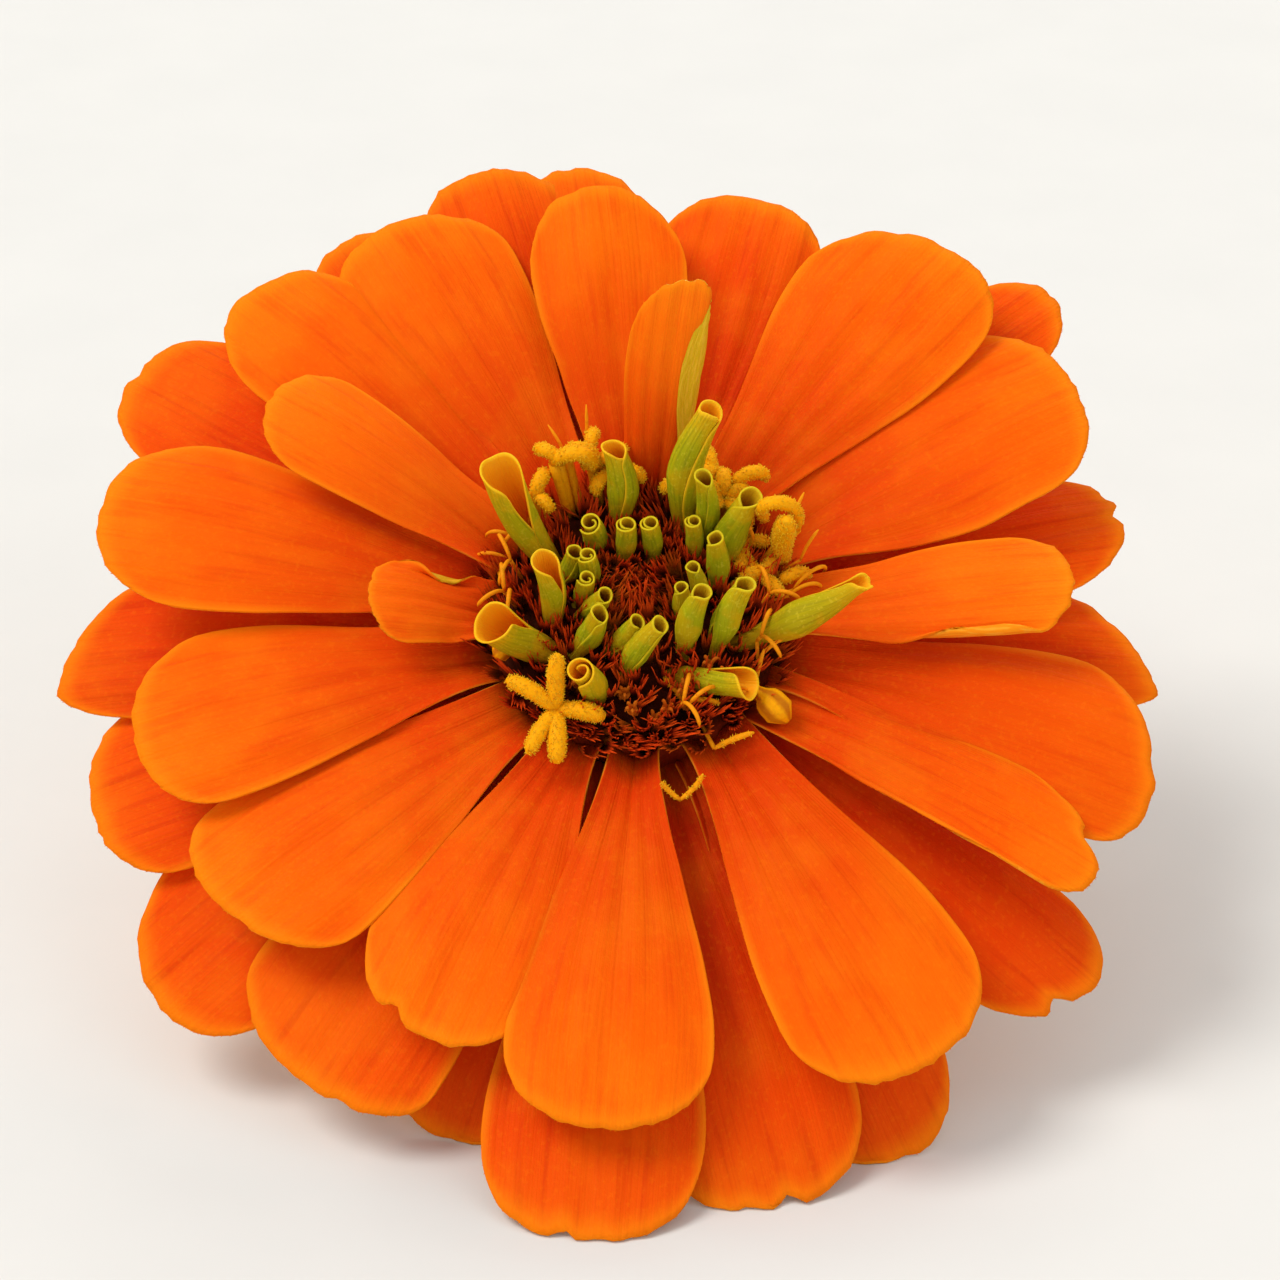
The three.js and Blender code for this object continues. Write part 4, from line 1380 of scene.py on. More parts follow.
CURLS = (
    Curl(20, 12.6, 3.0, 20, 7.8, 1.04, 93, 6, 900),
    Curl(22, 14.0, 6.6, 180, 7.2, 0.62, 92, 205, 340, late=2.2),
    Curl(116, 13.4, 7.4, -10, 5.0, 0.68, 62, 265, 340),
    Curl(122, 12.8, 7.6, 5, 5.2, 0.70, 66, 190, 360),
    Curl(120, 12.6, 7.4, 150, 3.2, 0.60, 70, 170, 240),
    Curl(133, 12.2, 5.6, 60, 3.2, 0.62, 75, 170, 240),
    Curl(132, 12.3, 5.2, -60, 2.6, 0.55, 60, 120, 200),
    Curl(134, 12.2, 5.0, 170, 2.8, 0.55, 60, 150, 200),
    Curl(108, 12.6, 7.0, 80, 3.4, 0.58, 70, 190, 260),
    Curl(106, 12.4, 6.6, -20, 2.6, 0.55, 50, 150, 220),
    Curl(56, 12.4, 4.8, 165, 5.6, 0.56, 72, 200, 320),
    Curl(52, 12.6, 5.2, 20, 4.8, 0.60, 75, 190, 320),
    Curl(60, 12.4, 5.4, 95, 4.0, 0.56, 75, 180, 260),
    Curl(48, 12.4, 4.4, -40, 4.2, 0.56, 65, 150, 260),
    Curl(14, 11.6, 3.6, 190, 3.4, 0.62, 45, 110, 260),
    Curl(10, 11.8, 3.4, 20, 3.0, 0.60, 45, 110, 220),
    Curl(238.7, 12.3, 4.8, 95, 4.8, 0.74, 58, 10, 380),
    Curl(238.7, 12.3, 4.7, -6, 4.0, 0.76, 18, 50, 380),
    Curl(238.7, 12.3, 4.6, 274, 4.6, 0.76, 8, 40, 380),
    Curl(238.7, 12.3, 4.7, 233, 4.4, 0.70, 5, 30, 340),
    Curl(238.7, 12.3, 4.8, 156, 4.8, 0.72, 42, 60, 360),
    Curl(108, 13.0, 4.0, 100, 6.5, 0.16, 80, 40, 0, 0.5),
    Curl(115, 12.6, 4.0, 130, 6.0, 0.16, 84, 70, 0, 0.5),
    Curl(24, 13.6, 6.2, 50, 3.4, 0.16, 75, 70, 0, 0.4),
    Curl(15, 13.8, 4.4, 40, 3.2, 0.16, 75, 70, 0, 0.4),
    Curl(6, 12.8, 3.4, 30, 5.4, 0.18, 62, 190, 0, 0.3),
    Curl(4, 12.4, 3.2, 20, 4.6, 0.18, 55, 190, 0, 0.3),
    Curl(149, 11.6, 3.6, 165, 3.4, 0.17, 55, 150, 0, 0.5),
    Curl(158, 11.4, 3.4, 175, 3.6, 0.17, 45, 140, 0, 0.6),
    Curl(174, 10.8, 3.2, 110, 3.2, 0.17, 55, 160, 0, 0.5),
    Curl(186, 11.4, 2.8, 200, 3.0, 0.17, 45, 150, 0, 0.7),
    Curl(-68, 9.6, 3.4, -10, 3.2, 0.26, 25, 40, 40, 0.3),
    Curl(-68, 9.6, 3.4, 125, 2.4, 0.26, 35, 50, 40, 0.3),
    Curl(-64, 14.1, 2.2, 16, 3.6, 0.26, 33, 10, 50, 0.3),
    Curl(-28, 11.0, 3.2, 30, 3.2, 0.18, 60, 60, 0, 0.5),
    Curl(-28, 11.0, 3.2, 95, 2.8, 0.18, 60, 120, 0, 0.5),
    Curl(-36, 11.8, 2.6, 75, 3.0, 0.18, 55, 20, 0, 0.5),
    Curl(-78.5, 17.2, 1.4, 150, 2.2, 0.24, 20, -40, 40, 0.3),
    Curl(-78.5, 17.2, 1.4, 30, 3.0, 0.24, 20, -50, 40, 0.3),
)


@dataclass
class DiscFlorets:
    """The fuzzy yellow florets, long curls and forked styles round the rim of the disc."""

    florets: tuple[tuple[float, Stage], ...] = (
        (14, Stage.LOW),
        (33, Stage.LOW),
        (50, Stage.OPEN),
        (66, Stage.OPEN),
        (99, Stage.OPEN),
        (203, Stage.KNOB),
        (320, Stage.BUD),
    )
    styles: Spots = (
        (0, 40),
        (41, -30),
        (145, 10),
        (163, 20),
        (179, -20),
        (192, -50),
        (290, 80),
        (306, -20),
        (338, 30),
    )
    curls: tuple[Curl, ...] = CURLS
    ring: float = 9.82
    brim: float = 10.6
    outlying: float = 16.0
    tube: float = 3.0
    collar: float = 0.7
    steps: int = 16
    sides: int = 10
    hair: float = 0.07
    fuzz: int = 300
    finish: FloretFinish = FloretFinish()

    def throat(self, angle: float, chance: Chance) -> tuple[Array, Array]:
        """Place a floret's tube, drawn as in the solids.

        Args:
            angle: degrees round the head.
            chance: the source of chance.

        Returns:
            Where the tube starts and where the lobes part.
        """
        lift = self.tube - 0.6 + 0.7 * chance()
        reach = 0.9 + 0.7 * chance()
        neck = ring_point(angle, self.ring, DOME.floor + self.collar)
        return neck, ring_point(angle, self.ring + reach, neck[2] + lift)

    def add_finger(self, skin: Skin, start: Array, curl: Curl, flat: float, seed: int) -> None:
        """Add a curled finger with its fuzz.

        Args:
            skin: the mesh in the making.
            start: where it leaves.
            curl: its heading, length, thickness and bend.
            flat: its thickness as a share of its width.
            seed: chooses its fuzz.
        """
        share = np.linspace(0.0, 1.0, self.steps)
        slope = np.radians(curl.slope - curl.curl * share**curl.late)
        outward, side = level_way(curl.turn), level_way(curl.turn + 90.0)
        step = np.cos(slope)[:, None] * outward + np.sin(slope)[:, None] * UP
        walk = np.concatenate([np.zeros((1, 3)), np.cumsum(step[:-1], axis=0)])
        path = start + walk * (curl.long / (self.steps - 1))
        draw = np.random.default_rng(seed)
        sway = 0.12 * curl.long * draw.uniform(-1.0, 1.0)
        path = path + side * (sway * share**2)[:, None]
        wide = curl.half * np.interp(share, [0, 0.2, 0.6, 0.88, 1.0], [0.6, 0.85, 1.0, 0.84, 0.30])
        measure = np.repeat(mix(0.2, 1.0, share), self.sides)
        add_limb(skin, path, wide, wide * flat, side, self.sides, along=measure, tone=curl.tone)
        if curl.fuzz > 0:
            self.add_fuzz(skin, path, wide, flat, side, curl.fuzz, draw)

    def add_fuzz(
        self, skin: Skin, path: Array, wide: Array, flat: float, side: Array, count: int, draw: Draw
    ) -> None:
        """Cover a finger with short hairs.

        Args:
            skin: the mesh in the making.
            path: points along the finger's middle.
            wide: its half width at each point.
            flat: its thickness as a share of its width.
            side: the side its width keeps to.
            count: how many hairs.
            draw: the source of chance.
        """
        share = np.linspace(0.0, 1.0, self.steps)
        place, around = draw.uniform(0.10, 1.0, count), draw.uniform(0.0, FULL_TURN, count)
        along, across, above = frame_along(path, side)
        near = np.clip((place * (self.steps - 1)).round().astype(int), 0, self.steps - 1)
        spot = np.stack([np.interp(place, share, path[:, k]) for k in range(3)], 1)
        cosine, sine = np.cos(around)[:, None], np.sin(around)[:, None]
        surface = (across[near] * cosine + above[near] * sine * flat) * wide[near][:, None]
        way = across[near] * cosine + above[near] * sine + 0.2 * along[near]
        way = unit(way + draw.normal(0.0, 0.25, (count, 3)))
        long = draw.uniform(0.13, 0.28, count)
        add_hairs(skin, spot + surface * 0.92, way, long, self.hair, edge=1.0)

    def add_floret(self, skin: Skin, angle: float, stage: Stage, seed: int) -> None:
        """Add one floret: its tube and its lobes, or its striped bud.

        Args:
            skin: the mesh in the making.
            angle: degrees round the head.
            stage: how far it is.
            seed: chooses its size, turn and fuzz.
        """
        chance = Chance(seed)
        neck, throat = self.throat(angle, chance)
        start = angle + 360.0 * chance()
        if stage is Stage.LOW:
            throat = mix(neck, throat, 0.4)
        lobes, long, half, slope, curl = stage.value
        rows = 14
        share = np.linspace(0.0, 1.0, rows)
        outer = level_way(angle + 90.0)
        if lobes == 0:
            reach = neck + (throat - neck) * 0.5 + ring_point(angle, long, -0.4 - 0.34 * long)
            path = mix(neck[None], reach[None], share[:, None])
            path = path + UP * (0.8 * np.sin(math.pi * share))[:, None]
            sizes = [0.40, 0.45, half, 1.04 * half, 0.3 * half]
            size = np.interp(share, [0.0, 0.5, 0.64, 0.85, 1.0], sizes)
            stripes = np.tile([0.06, 0.06, 0.4, 0.4], rows * 5)
            add_limb(skin, path, size, size, outer, 20, along=stripes)
            return
        path = mix(neck[None], throat[None], share[:, None])
        size = np.interp(share, [0.0, 0.5, 0.85, 1.0], [0.38, 0.46, 0.66, 0.6])
        add_limb(skin, path, size, size, outer, 12, along=np.repeat(mix(0.0, 0.25, share), 12))
        for k in range(lobes):
            turn = start + 360.0 * k / lobes + 24.0 * (chance() - 0.5)
            reach = long * (0.78 + 0.44 * chance())
            bend = curl * (0.8 + 0.4 * chance())
            lobe = Curl(angle, 0.0, 0.0, turn, reach, half, slope, bend, self.fuzz)
            self.add_finger(skin, throat + ring_point(turn, 0.3, -0.25), lobe, 0.72, seed * 10 + k)

    def add_style(self, skin: Skin, angle: float, turn: float) -> None:
        """Add one style, forked into two curled arms.

        Args:
            skin: the mesh in the making.
            angle: degrees round the head.
            turn: degrees that its fork is turned.
        """
        low = ring_point(angle, self.ring, DOME.floor + 0.2)
        fork = ring_point(angle, self.ring + 0.9, DOME.floor + 2.6)
        share = np.linspace(0.0, 1.0, 8)
        stalk = mix(low[None], fork[None], share[:, None])
        size = np.full(8, 0.17)
        add_limb(skin, stalk, size, size, level_way(angle + 90.0), 7, tone=0.6, along=0.6)
        for side in (-1, 1):
            arm = Curl(angle, 0.0, 0.0, angle + turn + side * 62.0, 3.4, 0.19, 62.0, 150.0, 0, 0.5)
            self.add_finger(skin, fork, arm, 1.0, int(angle) + side + 500)

    def add_stalk(self, skin: Skin, curl: Curl) -> None:
        """Add the tube that carries a curl, from the dome's rim or from between two petals.

        Args:
            skin: the mesh in the making.
            curl: the curl.
        """
        share = np.linspace(0.0, 1.0, 6)
        low = ring_point(curl.angle, min(curl.radius, self.brim), DOME.floor)
        if curl.radius > self.outlying:
            low = ring_point(curl.angle, curl.radius - 2.0, -2.0)
        high = ring_point(curl.angle, curl.radius, curl.height)
        path = mix(low[None], high[None], share[:, None])
        size = np.interp(share, [0.0, 1.0], [0.55, 0.72]) * curl.half
        add_limb(skin, path, size, size, level_way(curl.angle + 90.0), 9, along=0.3, tone=curl.tone)

    def build(self) -> Thing:
        """Build the florets, dress them and set them in the frame's place.

        Returns:
            The florets.
        """
        skin = Skin()
        for number, (angle, stage) in enumerate(self.florets):
            self.add_floret(skin, angle, stage, 11 + 7 * number)
        for angle, turn in self.styles:
            self.add_style(skin, angle, turn)
        for number, curl in enumerate(self.curls):
            start = ring_point(curl.angle, curl.radius, curl.height)
            self.add_finger(skin, start, curl, 0.9, 900 + number)
            self.add_stalk(skin, curl)
        florets = skin.mesh_object("yellow_florets")
        return dressed(florets, self.finish.material(), "floret_yellow", "disc_florets")


# ---------------------------------------------------------------------- chaff


@dataclass
class Chaff:
    """The dome of the receptacle, dark with painted shade, its fringed chaffy scales and the dried florets
    among them.
    """

    scales: int = 300
    reach: float = 12.3
    seed: int = 8
    dried: int = 13
    skirt: int = 44
    tuft: int = 230
    skirt_ring: tuple[float, float] = (10.7, 11.7)
    skirt_span: tuple[float, float] = (-135.0, -45.0)
    dried_ring: tuple[float, float] = (7.0, 12.0)
    dried_span: tuple[float, float] = (-130.0, -44.0)
    side: Spots = ((11.5, 1.9), (12.0, 0.7), (12.2, -0.9), (12.3, -2.4), (11.4, -3.25), (0.02, -3.25))
    finish: ChaffFinish = ChaffFinish()

    def add_dome(self, skin: Skin) -> None:
        """Add the dome and the column of seed heads under it.

        Args:
            skin: the mesh in the making.
        """
        crown, lanes = 28, 180
        brow, side = self.side[0][1], np.array(self.side)
        radius = np.concatenate([np.linspace(0.02, 10.9, crown), side[:, 0]])[:, None]
        level = np.concatenate([DOME.height(radius[:crown, 0]) - 0.35, side[:, 1]])[:, None]
        angle = np.linspace(0.0, FULL_TURN, lanes, endpoint=False)[None, :]
        bump = 0.25 * np.sin(radius * 4.1 + 2.0 * np.cos(angle * 7.0)) * np.cos(angle * 13.0 + radius)
        height = level + bump * np.clip(radius / 4.0, 0.0, 1.0) * (level > brow)
        ribs = 0.16 * np.cos(angle * 30.0) * (level < brow) * (radius > 5.0)
        points = revolved(radius + ribs, angle, height).reshape(-1, 3)
        # Painted shade: the crown takes the near-black of the pits, and the side a dark blend of pit and
        # maroon.
        along = np.repeat([0.1] * crown + [0.3, 0.5, 0.55, 0.5, 0.4, 0.3], lanes)
        skin.add(points, grid_faces(crown + len(side), lanes, ring=True), along=along)

    def add_scale(self, skin: Skin, angle: float, radius: float, tall: float, draw: Draw) -> None:
        """Add one scale: a thin fold round its seed, with a fringed top.

        Args:
            skin: the mesh in the making.
            angle: degrees round the dome.
            radius: its distance from the axis.
            tall: how far it stands out.
            draw: the source of chance.
        """
        rows, lanes = 6, 15
        foot = ring_point(angle, radius, float(DOME.height(radius)) - 0.5)
        lean = -0.6 * (1.0 - smoothstep(radius, 2.0, 5.5)) + 0.35 * smoothstep(radius, 7.0, 10.6)
        lean = lean + 0.3 * smoothstep(radius, 10.6, 11.6)
        top = ring_point(angle + draw.normal(0.0, 3.0), radius + lean * tall, foot[2] + 0.5 + tall)
        middle = angle + draw.normal(0.0, 25.0)
        turn = np.radians(middle + np.linspace(-1.0, 1.0, lanes) * draw.uniform(70.0, 125.0))
        fringe, gap = draw.uniform(0.15, 0.75, lanes), draw.uniform(-0.35, -0.1, lanes)
        tooth = np.where(np.arange(lanes) % 2 == 0, fringe, gap)
        share = np.linspace(0.0, 1.0, rows)[:, None] ** 0.8 * (1.0 + tooth)[None, :]
        size = draw.uniform(0.45, 0.72) * mix(0.7, 1.1, share)
        grid = foot + (top - foot) * share[..., None] + revolved(size, turn, 0.0)
        grid = grid + draw.normal(0.0, 0.035, (rows, lanes, 3))
        along = np.clip(share, 0.0, 1.0)
        add_blade(skin, grid, 0.10 * (1.0 - 0.5 * along), along=along, tone=0.6 * draw.uniform() ** 4)

    def add_dried(self, skin: Skin, angle: float, radius: float, draw: Draw) -> None:
        """Add one dried floret: a shrivelled tube with curled teeth.

        Args:
            skin: the mesh in the making.
            angle: degrees round the dome.
            radius: its distance from the axis.
            draw: the source of chance.
        """
        share = np.linspace(0.0, 1.0, 7)
        foot = ring_point(angle, radius, float(DOME.height(radius)) - 0.2)
        tall = draw.uniform(1.0, 2.0)
        way = ring_point(angle + draw.normal(0.0, 40.0), 0.45, 0.9)
        path = foot + way * (tall * share)[:, None] + draw.normal(0.0, 0.09, (7, 3))
        tone = draw.uniform(0.55, 1.0)
        size = np.interp(share, [0.0, 0.6, 1.0], [0.22, 0.26, 0.48]) * draw.uniform(0.8, 1.2)
        add_limb(skin, path, size, size, level_way(angle + 90.0), 8, along=0.9, tone=tone)
        for k in range(4):
            turn = 90.0 * k + draw.uniform(0.0, 50.0)
            bend = level_way(turn)
            arch = 0.7 * np.sin(2.9 * share) - 0.1
            tooth = path[-1] + bend * (0.2 + draw.uniform(0.3, 0.8) * share)[:, None]
            tooth = tooth + UP * arch[:, None]
            thin = np.interp(share, [0.0, 0.5, 1.0], [0.17, 0.15, 0.05])
            add_limb(skin, tooth, thin, thin, level_way(turn + 90.0), 6, along=1.0, tone=tone)

    def add_tuft(self, skin: Skin, draw: Draw) -> None:
        """Add the red-brown bristles that close over the middle.

        Args:
            skin: the mesh in the making.
            draw: the source of chance.
        """
        count = self.tuft
        radius = 5.0 * np.sqrt(draw.uniform(0.0, 1.0, count))
        out = revolved(1.0, draw.uniform(0.0, FULL_TURN, count), 0.0)
        roots = out * radius[:, None]
        roots[:, 2] = DOME.height(radius) - 0.3
        ways = -out * (0.25 + 0.22 * radius)[:, None] + draw.normal(0.0, 0.22, (count, 3)) + 0.7 * UP
        long, tone = draw.uniform(1.5, 2.7, count), draw.uniform(0.0, 0.5, count)
        add_hairs(skin, roots, unit(ways), long, 0.14, tone=tone)

    def build(self) -> Thing:
        """Build the dome and scales, dress them and set them in the frame's place.

        Returns:
            The dome and scales.
        """
        skin = Skin()
        draw = np.random.default_rng(self.seed)
        self.add_dome(skin)
        for k in range(self.scales):
            radius = self.reach * math.sqrt((k + 0.5) / self.scales)
            angle = GOLDEN_ANGLE * k + draw.normal(0.0, 4.0)
            front = 0.5 - 0.5 * math.sin(math.radians(angle))
            tall = draw.uniform(0.9, 1.5) * mix(1.0, 1.35, front * smoothstep(radius, 4.0, 8.0))
            self.add_scale(skin, angle, radius, tall, draw)
        for _ in range(self.skirt):
            angle, radius = draw.uniform(*self.skirt_span), draw.uniform(*self.skirt_ring)
            self.add_scale(skin, angle, radius, draw.uniform(0.8, 1.3), draw)
        for _ in range(self.dried):
            self.add_dried(skin, draw.uniform(*self.dried_span), draw.uniform(*self.dried_ring), draw)
        self.add_tuft(skin, draw)
        scales = skin.mesh_object("chaff_scales", smooth=False)
        return dressed(scales, self.finish.material(), "chaff_red", "chaff")


# --------------------------------------------------------- involucre and stem


@dataclass(frozen=True)
class BractRow:
    """One row of bracts: how many, the level of its middle, their length and width."""

    count: int
    level: float
    long: float
    wide: float


@dataclass
class Involucre:
    """The green cup of overlapping bracts."""

    foot: float = -13.2
    top: float = -3.2
    socket: float = 3.2
    roof: float = -11.2
    thick: float = 0.30
    rows: tuple[BractRow, ...] = (
        BractRow(8, -11.6, 5.0, 5.4),
        BractRow(9, -9.6, 5.4, 6.0),
        BractRow(10, -7.4, 4.9, 6.6),
        BractRow(12, -6.2, 4.9, 6.6),
    )
    finish: GreenFinish = GreenFinish("bract_green_dark_rim", (0.10, 0.17, 0.030), (0.055, 0.12, 0.018))

    def radius(self, height: Values) -> Values:
        """Radius of the cup at a height."""
        share = (height - self.foot) / (self.top - self.foot)
        return 4.1 + 7.3 * np.sqrt(np.maximum(share, 0.0)) - 0.3 * share

    def add_cup(self, skin: Skin) -> None:
        """Add the cup, with the socket that the stem stands in.

        Args:
            skin: the mesh in the making.
        """
        lanes = 64
        heights = mix(self.foot, self.top, np.linspace(0.0, 1.0, 20) ** 1.6)
        spots = [(0.01, self.roof), (self.socket, self.roof), (self.socket, self.foot)]
        spots += [(float(self.radius(h)), float(h)) for h in heights]
        spots = np.array(spots + [(6.0, self.top), (0.01, self.top)])
        angle = np.linspace(0.0, FULL_TURN, lanes, endpoint=False)
        points = revolved(spots[:, :1], angle, spots[:, 1:]).reshape(-1, 3)
        along = np.repeat(np.linspace(0.0, 0.4, len(spots)), lanes)
        skin.add(points, grid_faces(len(spots), lanes, ring=True, flip=True), along=along)

    def add_bract(self, skin: Skin, angle: float, row: BractRow, seed: int) -> None:
        """Add one rounded bract with its ragged rim.

        Args:
            skin: the mesh in the making.
            angle: degrees round the cup.
            row: the row that it stands in.
            seed: chooses its rim.
        """
        rows, lanes = 16, 15
        ragged = 1.0 - 0.02 * (1.0 + wavy(np.linspace(0, 9, lanes), seed))
        share = np.linspace(0.0, 1.0, rows)[:, None] * ragged[None, :]
        lane = np.linspace(-1.0, 1.0, lanes)[None, :]
        height = row.level - 1.2 + row.long * share
        away = self.radius(height) + 0.12 + 0.42 * share + 0.10 * lane**2 * share
        half = row.wide / 2.0 * np.interp(share, [0.0, 0.33, 0.66, 0.86, 1.0], [0.7, 1.0, 0.95, 0.74, 0.40])
        turn = np.radians(angle) + lane * half / away
        grid = revolved(away, turn, height - 0.5 * lane**2 * share)
        edge = np.maximum(smoothstep(np.abs(lane), 0.84, 0.98), smoothstep(share, 0.84, 0.97))
        edge = edge * smoothstep(share, 0.25, 0.5)
        add_blade(skin, grid[:, ::-1], self.thick, along=share, across=lane, edge=edge)

    def build(self) -> Thing:
        """Build the cup, dress it and set it in the frame's place.

        Returns:
            The cup.
        """
        skin = Skin()
        self.add_cup(skin)
        for k, row in enumerate(self.rows):
            for n in range(row.count):
                angle = 360.0 * (n + 0.5 * (k % 2)) / row.count
                self.add_bract(skin, angle, row, 17 * n + k)
        return dressed(skin.mesh_object("bract_cup"), self.finish.material(), "bract_green", "involucre")


@dataclass
class Stem:
    """The short cut stem: ribbed, bristly, pale where it is cut."""

    top: float = -11.6
    end: float = -35.1
    radius: float = 2.45
    ribs: int = 8
    rib: float = 0.12
    rows: int = 60
    lanes: int = 96
    bristles: int = 420
    bare: float = -14.5
    seed: int = 3
    finish: GreenFinish = GreenFinish("stem_green_ribbed", (0.15, 0.22, 0.035), (0.10, 0.18, 0.025), veins=5)

    def add_bark(self, skin: Skin) -> None:
        """Add the ribbed side and the pale cut end.

        Args:
            skin: the mesh in the making.
        """
        angle = np.linspace(0.0, FULL_TURN, self.lanes, endpoint=False)[None, :]
        height = np.linspace(self.end, self.top, self.rows)[:, None]
        size = np.interp(height, [self.end, -24.0, -17.0, -13.6, self.top], [1.0, 0.97, 1.0, 1.08, 1.1])
        radius = self.radius * size + self.rib * np.cos(self.ribs * angle) - 0.02
        side = PLACE.grounded(revolved(radius, angle, height).reshape(-1, 3))
        across = np.tile(np.abs(angle[0] / math.pi - 1.0) * 4.0, self.rows)
        along = np.repeat(np.linspace(0.0, 1.0, self.rows), self.lanes)
        skin.add(side, grid_faces(self.rows, self.lanes, ring=True, flip=True), along=along, across=across)
        rings = radius[:1] * np.array([1.0, 0.93, 0.7, 0.35, 0.02])[:, None]
        pith = self.end + 0.12 * np.array([0.0, 0.0, 1.0, 1.0, 1.0])[:, None]
        cut = PLACE.grounded(revolved(rings, angle, pith).reshape(-1, 3))
        tone = np.repeat([0.1, 0.5, 1.0, 0.8, 0.9], self.lanes)
        skin.add(cut, grid_faces(len(rings), self.lanes, ring=True), tone=tone)

    def add_bristles(self, skin: Skin) -> None:
        """Add the pale bristles that stand on it, clear of the ground.

        Args:
            skin: the mesh in the making.
        """
        draw = np.random.default_rng(self.seed)
        count = self.bristles
        level = draw.uniform(self.end + 0.8, self.bare, count)
        out = revolved(1.0, draw.uniform(0.0, FULL_TURN, count), 0.0)
        roots = out * (self.radius * 0.97) + level[:, None] * UP
        ways = unit(out + draw.normal(0.0, 0.25, (count, 3)) + 0.35 * UP)
        long = draw.uniform(0.35, 0.8, count)
        clear = PLACE.world(roots + ways * long[:, None])[:, 2] > 0.4 * MILLIMETRE
        add_hairs(skin, roots[clear], ways[clear], long[clear], HAIR, tone=1.0)

    def build(self) -> Thing:
        """Build the stem, dress it and set it in the frame's place.

        Returns:
            The stem.
        """
        skin = Skin()
        self.add_bark(skin)
        self.add_bristles(skin)
        return dressed(skin.mesh_object("cut_stem"), self.finish.material(), "stem_green", "stem")


# --------------------------------------------------------------------- studio


@dataclass(frozen=True)
class Lamp:
    """A soft far light: its place in metres, its width in radians, its strength and colour."""

    name: str
    place: tuple[float, float, float]
    width: float
    strength: float
    colour: Colour

    def build(self) -> None:
        """Set the light up, aimed at the bloom."""
        light = bpy.data.lights.new(self.name, "SUN")
        light.angle = self.width
        light.energy = self.strength
        light.color = self.colour
        thing = linked(self.name, light)
        thing.location = self.place
        thing.rotation_euler = aim(self.place, (0.0, 0.0, 0.03))


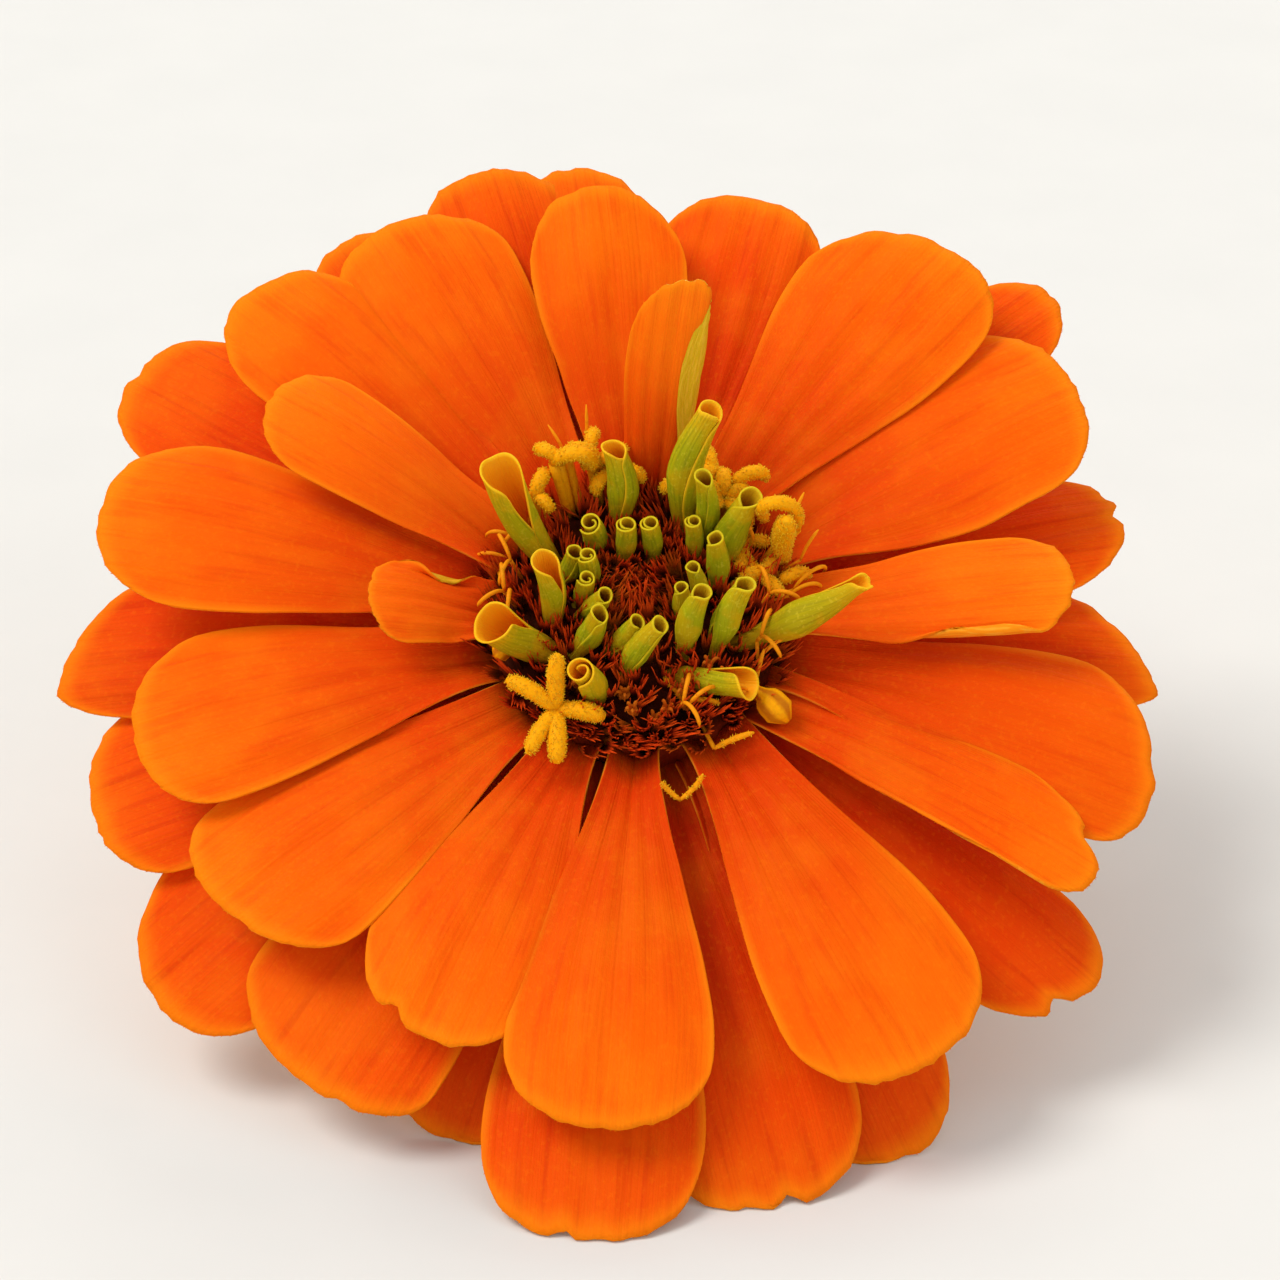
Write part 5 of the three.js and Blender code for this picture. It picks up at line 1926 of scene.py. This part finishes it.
@dataclass
class Studio:
    """Pale floor, soft lights and the camera at the photograph's angle.

    Args:
        distance: from the camera to the head, in metres.
        focal: the lens, in millimetres.
        sensor: the width of the camera's film, in millimetres.
        view_angle: degrees between the flower's axis and the line to the camera.
        nudge: how far the camera is aimed right of the head and above it, in millimetres.
        air: strength of the light from all round.
    """

    distance: float = 0.300
    focal: float = 102.9
    sensor: float = 36.0
    view_angle: float = 30.0
    nudge: tuple[float, float] = (0.246, -1.23)
    air: float = 0.68
    lamps: tuple[Lamp, ...] = (
        Lamp("key_light", (-0.45, -0.10, 0.75), 0.52, 1.72, (1.0, 0.98, 0.95)),
        Lamp("fill_light", (0.65, -0.55, 0.45), 0.74, 0.31, (0.96, 0.98, 1.0)),
        Lamp("back_light", (0.15, 0.7, 0.55), 0.68, 0.55, (1.0, 1.0, 1.0)),
    )
    finish: FloorFinish = FloorFinish()

    def add_floor(self) -> None:
        """Add the floor, a wide dish that rises far away."""
        lanes = 64
        reach = np.concatenate([np.linspace(0.02, 2.0, 14), np.linspace(2.1, 4.5, 22)])[:, None]
        turn = np.linspace(0.0, FULL_TURN, lanes, endpoint=False)[None, :]
        points = revolved(reach, turn, 2.2 * smoothstep(reach, 2.0, 4.8) ** 1.3).reshape(-1, 3)
        mesh = bpy.data.meshes.new("studio_floor")
        faces = [tuple(range(lanes))] + grid_faces(len(reach), lanes, ring=True)
        mesh.from_pydata(points.tolist(), [], faces)
        mesh.polygons.foreach_set("use_smooth", [True] * len(mesh.polygons))
        floor = linked("studio_floor", mesh)
        floor.data.materials.append(self.finish.material())

    def add_air(self) -> None:
        """Add the even light from all round."""
        world = bpy.data.worlds.new("studio_air")
        world.use_nodes = True
        light = world.node_tree.nodes["Background"]
        light.inputs["Color"].default_value = (1.0, 1.0, 1.0, 1.0)
        light.inputs["Strength"].default_value = self.air
        bpy.context.scene.world = world
        bpy.context.scene.view_settings.view_transform = "Standard"

    def add_camera(self) -> None:
        """Add the camera, where the photograph was taken from."""
        turn = math.radians(PLACE.lean + self.view_angle)
        toward = np.array([0.0, -math.sin(turn), math.cos(turn)])
        up = np.array([0.0, math.cos(turn), math.sin(turn)])
        right = np.array([1.0, 0.0, 0.0])
        aimed = np.array(PLACE.head) * MILLIMETRE
        aimed = aimed + (right * self.nudge[0] + up * self.nudge[1]) * MILLIMETRE
        data = bpy.data.cameras.new("camera")
        data.lens = self.focal
        data.sensor_width = self.sensor
        camera = linked("camera", data)
        camera.location = tuple(aimed + toward * self.distance)
        camera.rotation_euler = aim(tuple(camera.location), tuple(aimed))
        bpy.context.scene.camera = camera

    def build(self) -> None:
        """Set up the floor, the lights and the camera."""
        self.add_floor()
        for lamp in self.lamps:
            lamp.build()
        self.add_air()
        self.add_camera()
        LOG.info("studio: floor, %d lights and camera", len(self.lamps))


def aim(place: Sequence[float], target: Sequence[float]) -> mathutils.Euler:
    """Turn that points a light or camera from a place at a target."""
    way = mathutils.Vector(target) - mathutils.Vector(place)
    return way.to_track_quat("-Z", "Y").to_euler()


def petal_whorls() -> tuple[PetalWhorl, ...]:
    """The three whorls of petals, from the outermost in.

    Returns:
        The whorls, ready to build.
    """
    # Painted shade: the outer whorl's finish is a darker, redder copy of the orange, standing in for the
    # shade that the whorls above cast on it.
    deep = PetalFinish("petal_deep_orange", (0.55, 0.02, 0.001), (0.83, 0.072, 0.001), (0.9, 0.115, 0.002))
    bright = PetalFinish("petal_orange", (0.68, 0.042, 0.001), (0.91, 0.118, 0.001), (0.94, 0.16, 0.002))
    light = PetalFinish("petal_light_orange", (0.74, 0.06, 0.002), (0.94, 0.145, 0.002), (0.95, 0.185, 0.004))
    outer = Whorl(root=11.3, bed=-2.55, rim=12.5, level=-2.2, claw=3.9)
    middle = Whorl(root=11.5, bed=-1.25, rim=12.2, level=0.0, claw=4.8)
    inner = Whorl(root=10.5, bed=-0.25, rim=11.5, level=1.4, claw=4.4)
    return (
        PetalWhorl("outer_petals", "outer_rays", "petal_deep_orange", outer, OUTER_RAYS, deep),
        PetalWhorl("middle_petals", "middle_rays", "petal_orange", middle, MIDDLE_RAYS, bright),
        PetalWhorl("inner_petals", "inner_rays", "petal_light_orange", inner, INNER_RAYS, light),
    )


def main() -> None:
    """Build the bloom, piece by piece, and its studio."""
    logging.basicConfig(level=logging.INFO, format="%(name)s %(message)s")
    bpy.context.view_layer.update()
    for piece in (*petal_whorls(), YoungRays(), DiscFlorets(), Chaff(), Involucre(), Stem(), Studio()):
        piece.build()


if __name__ == "__main__":
    main()
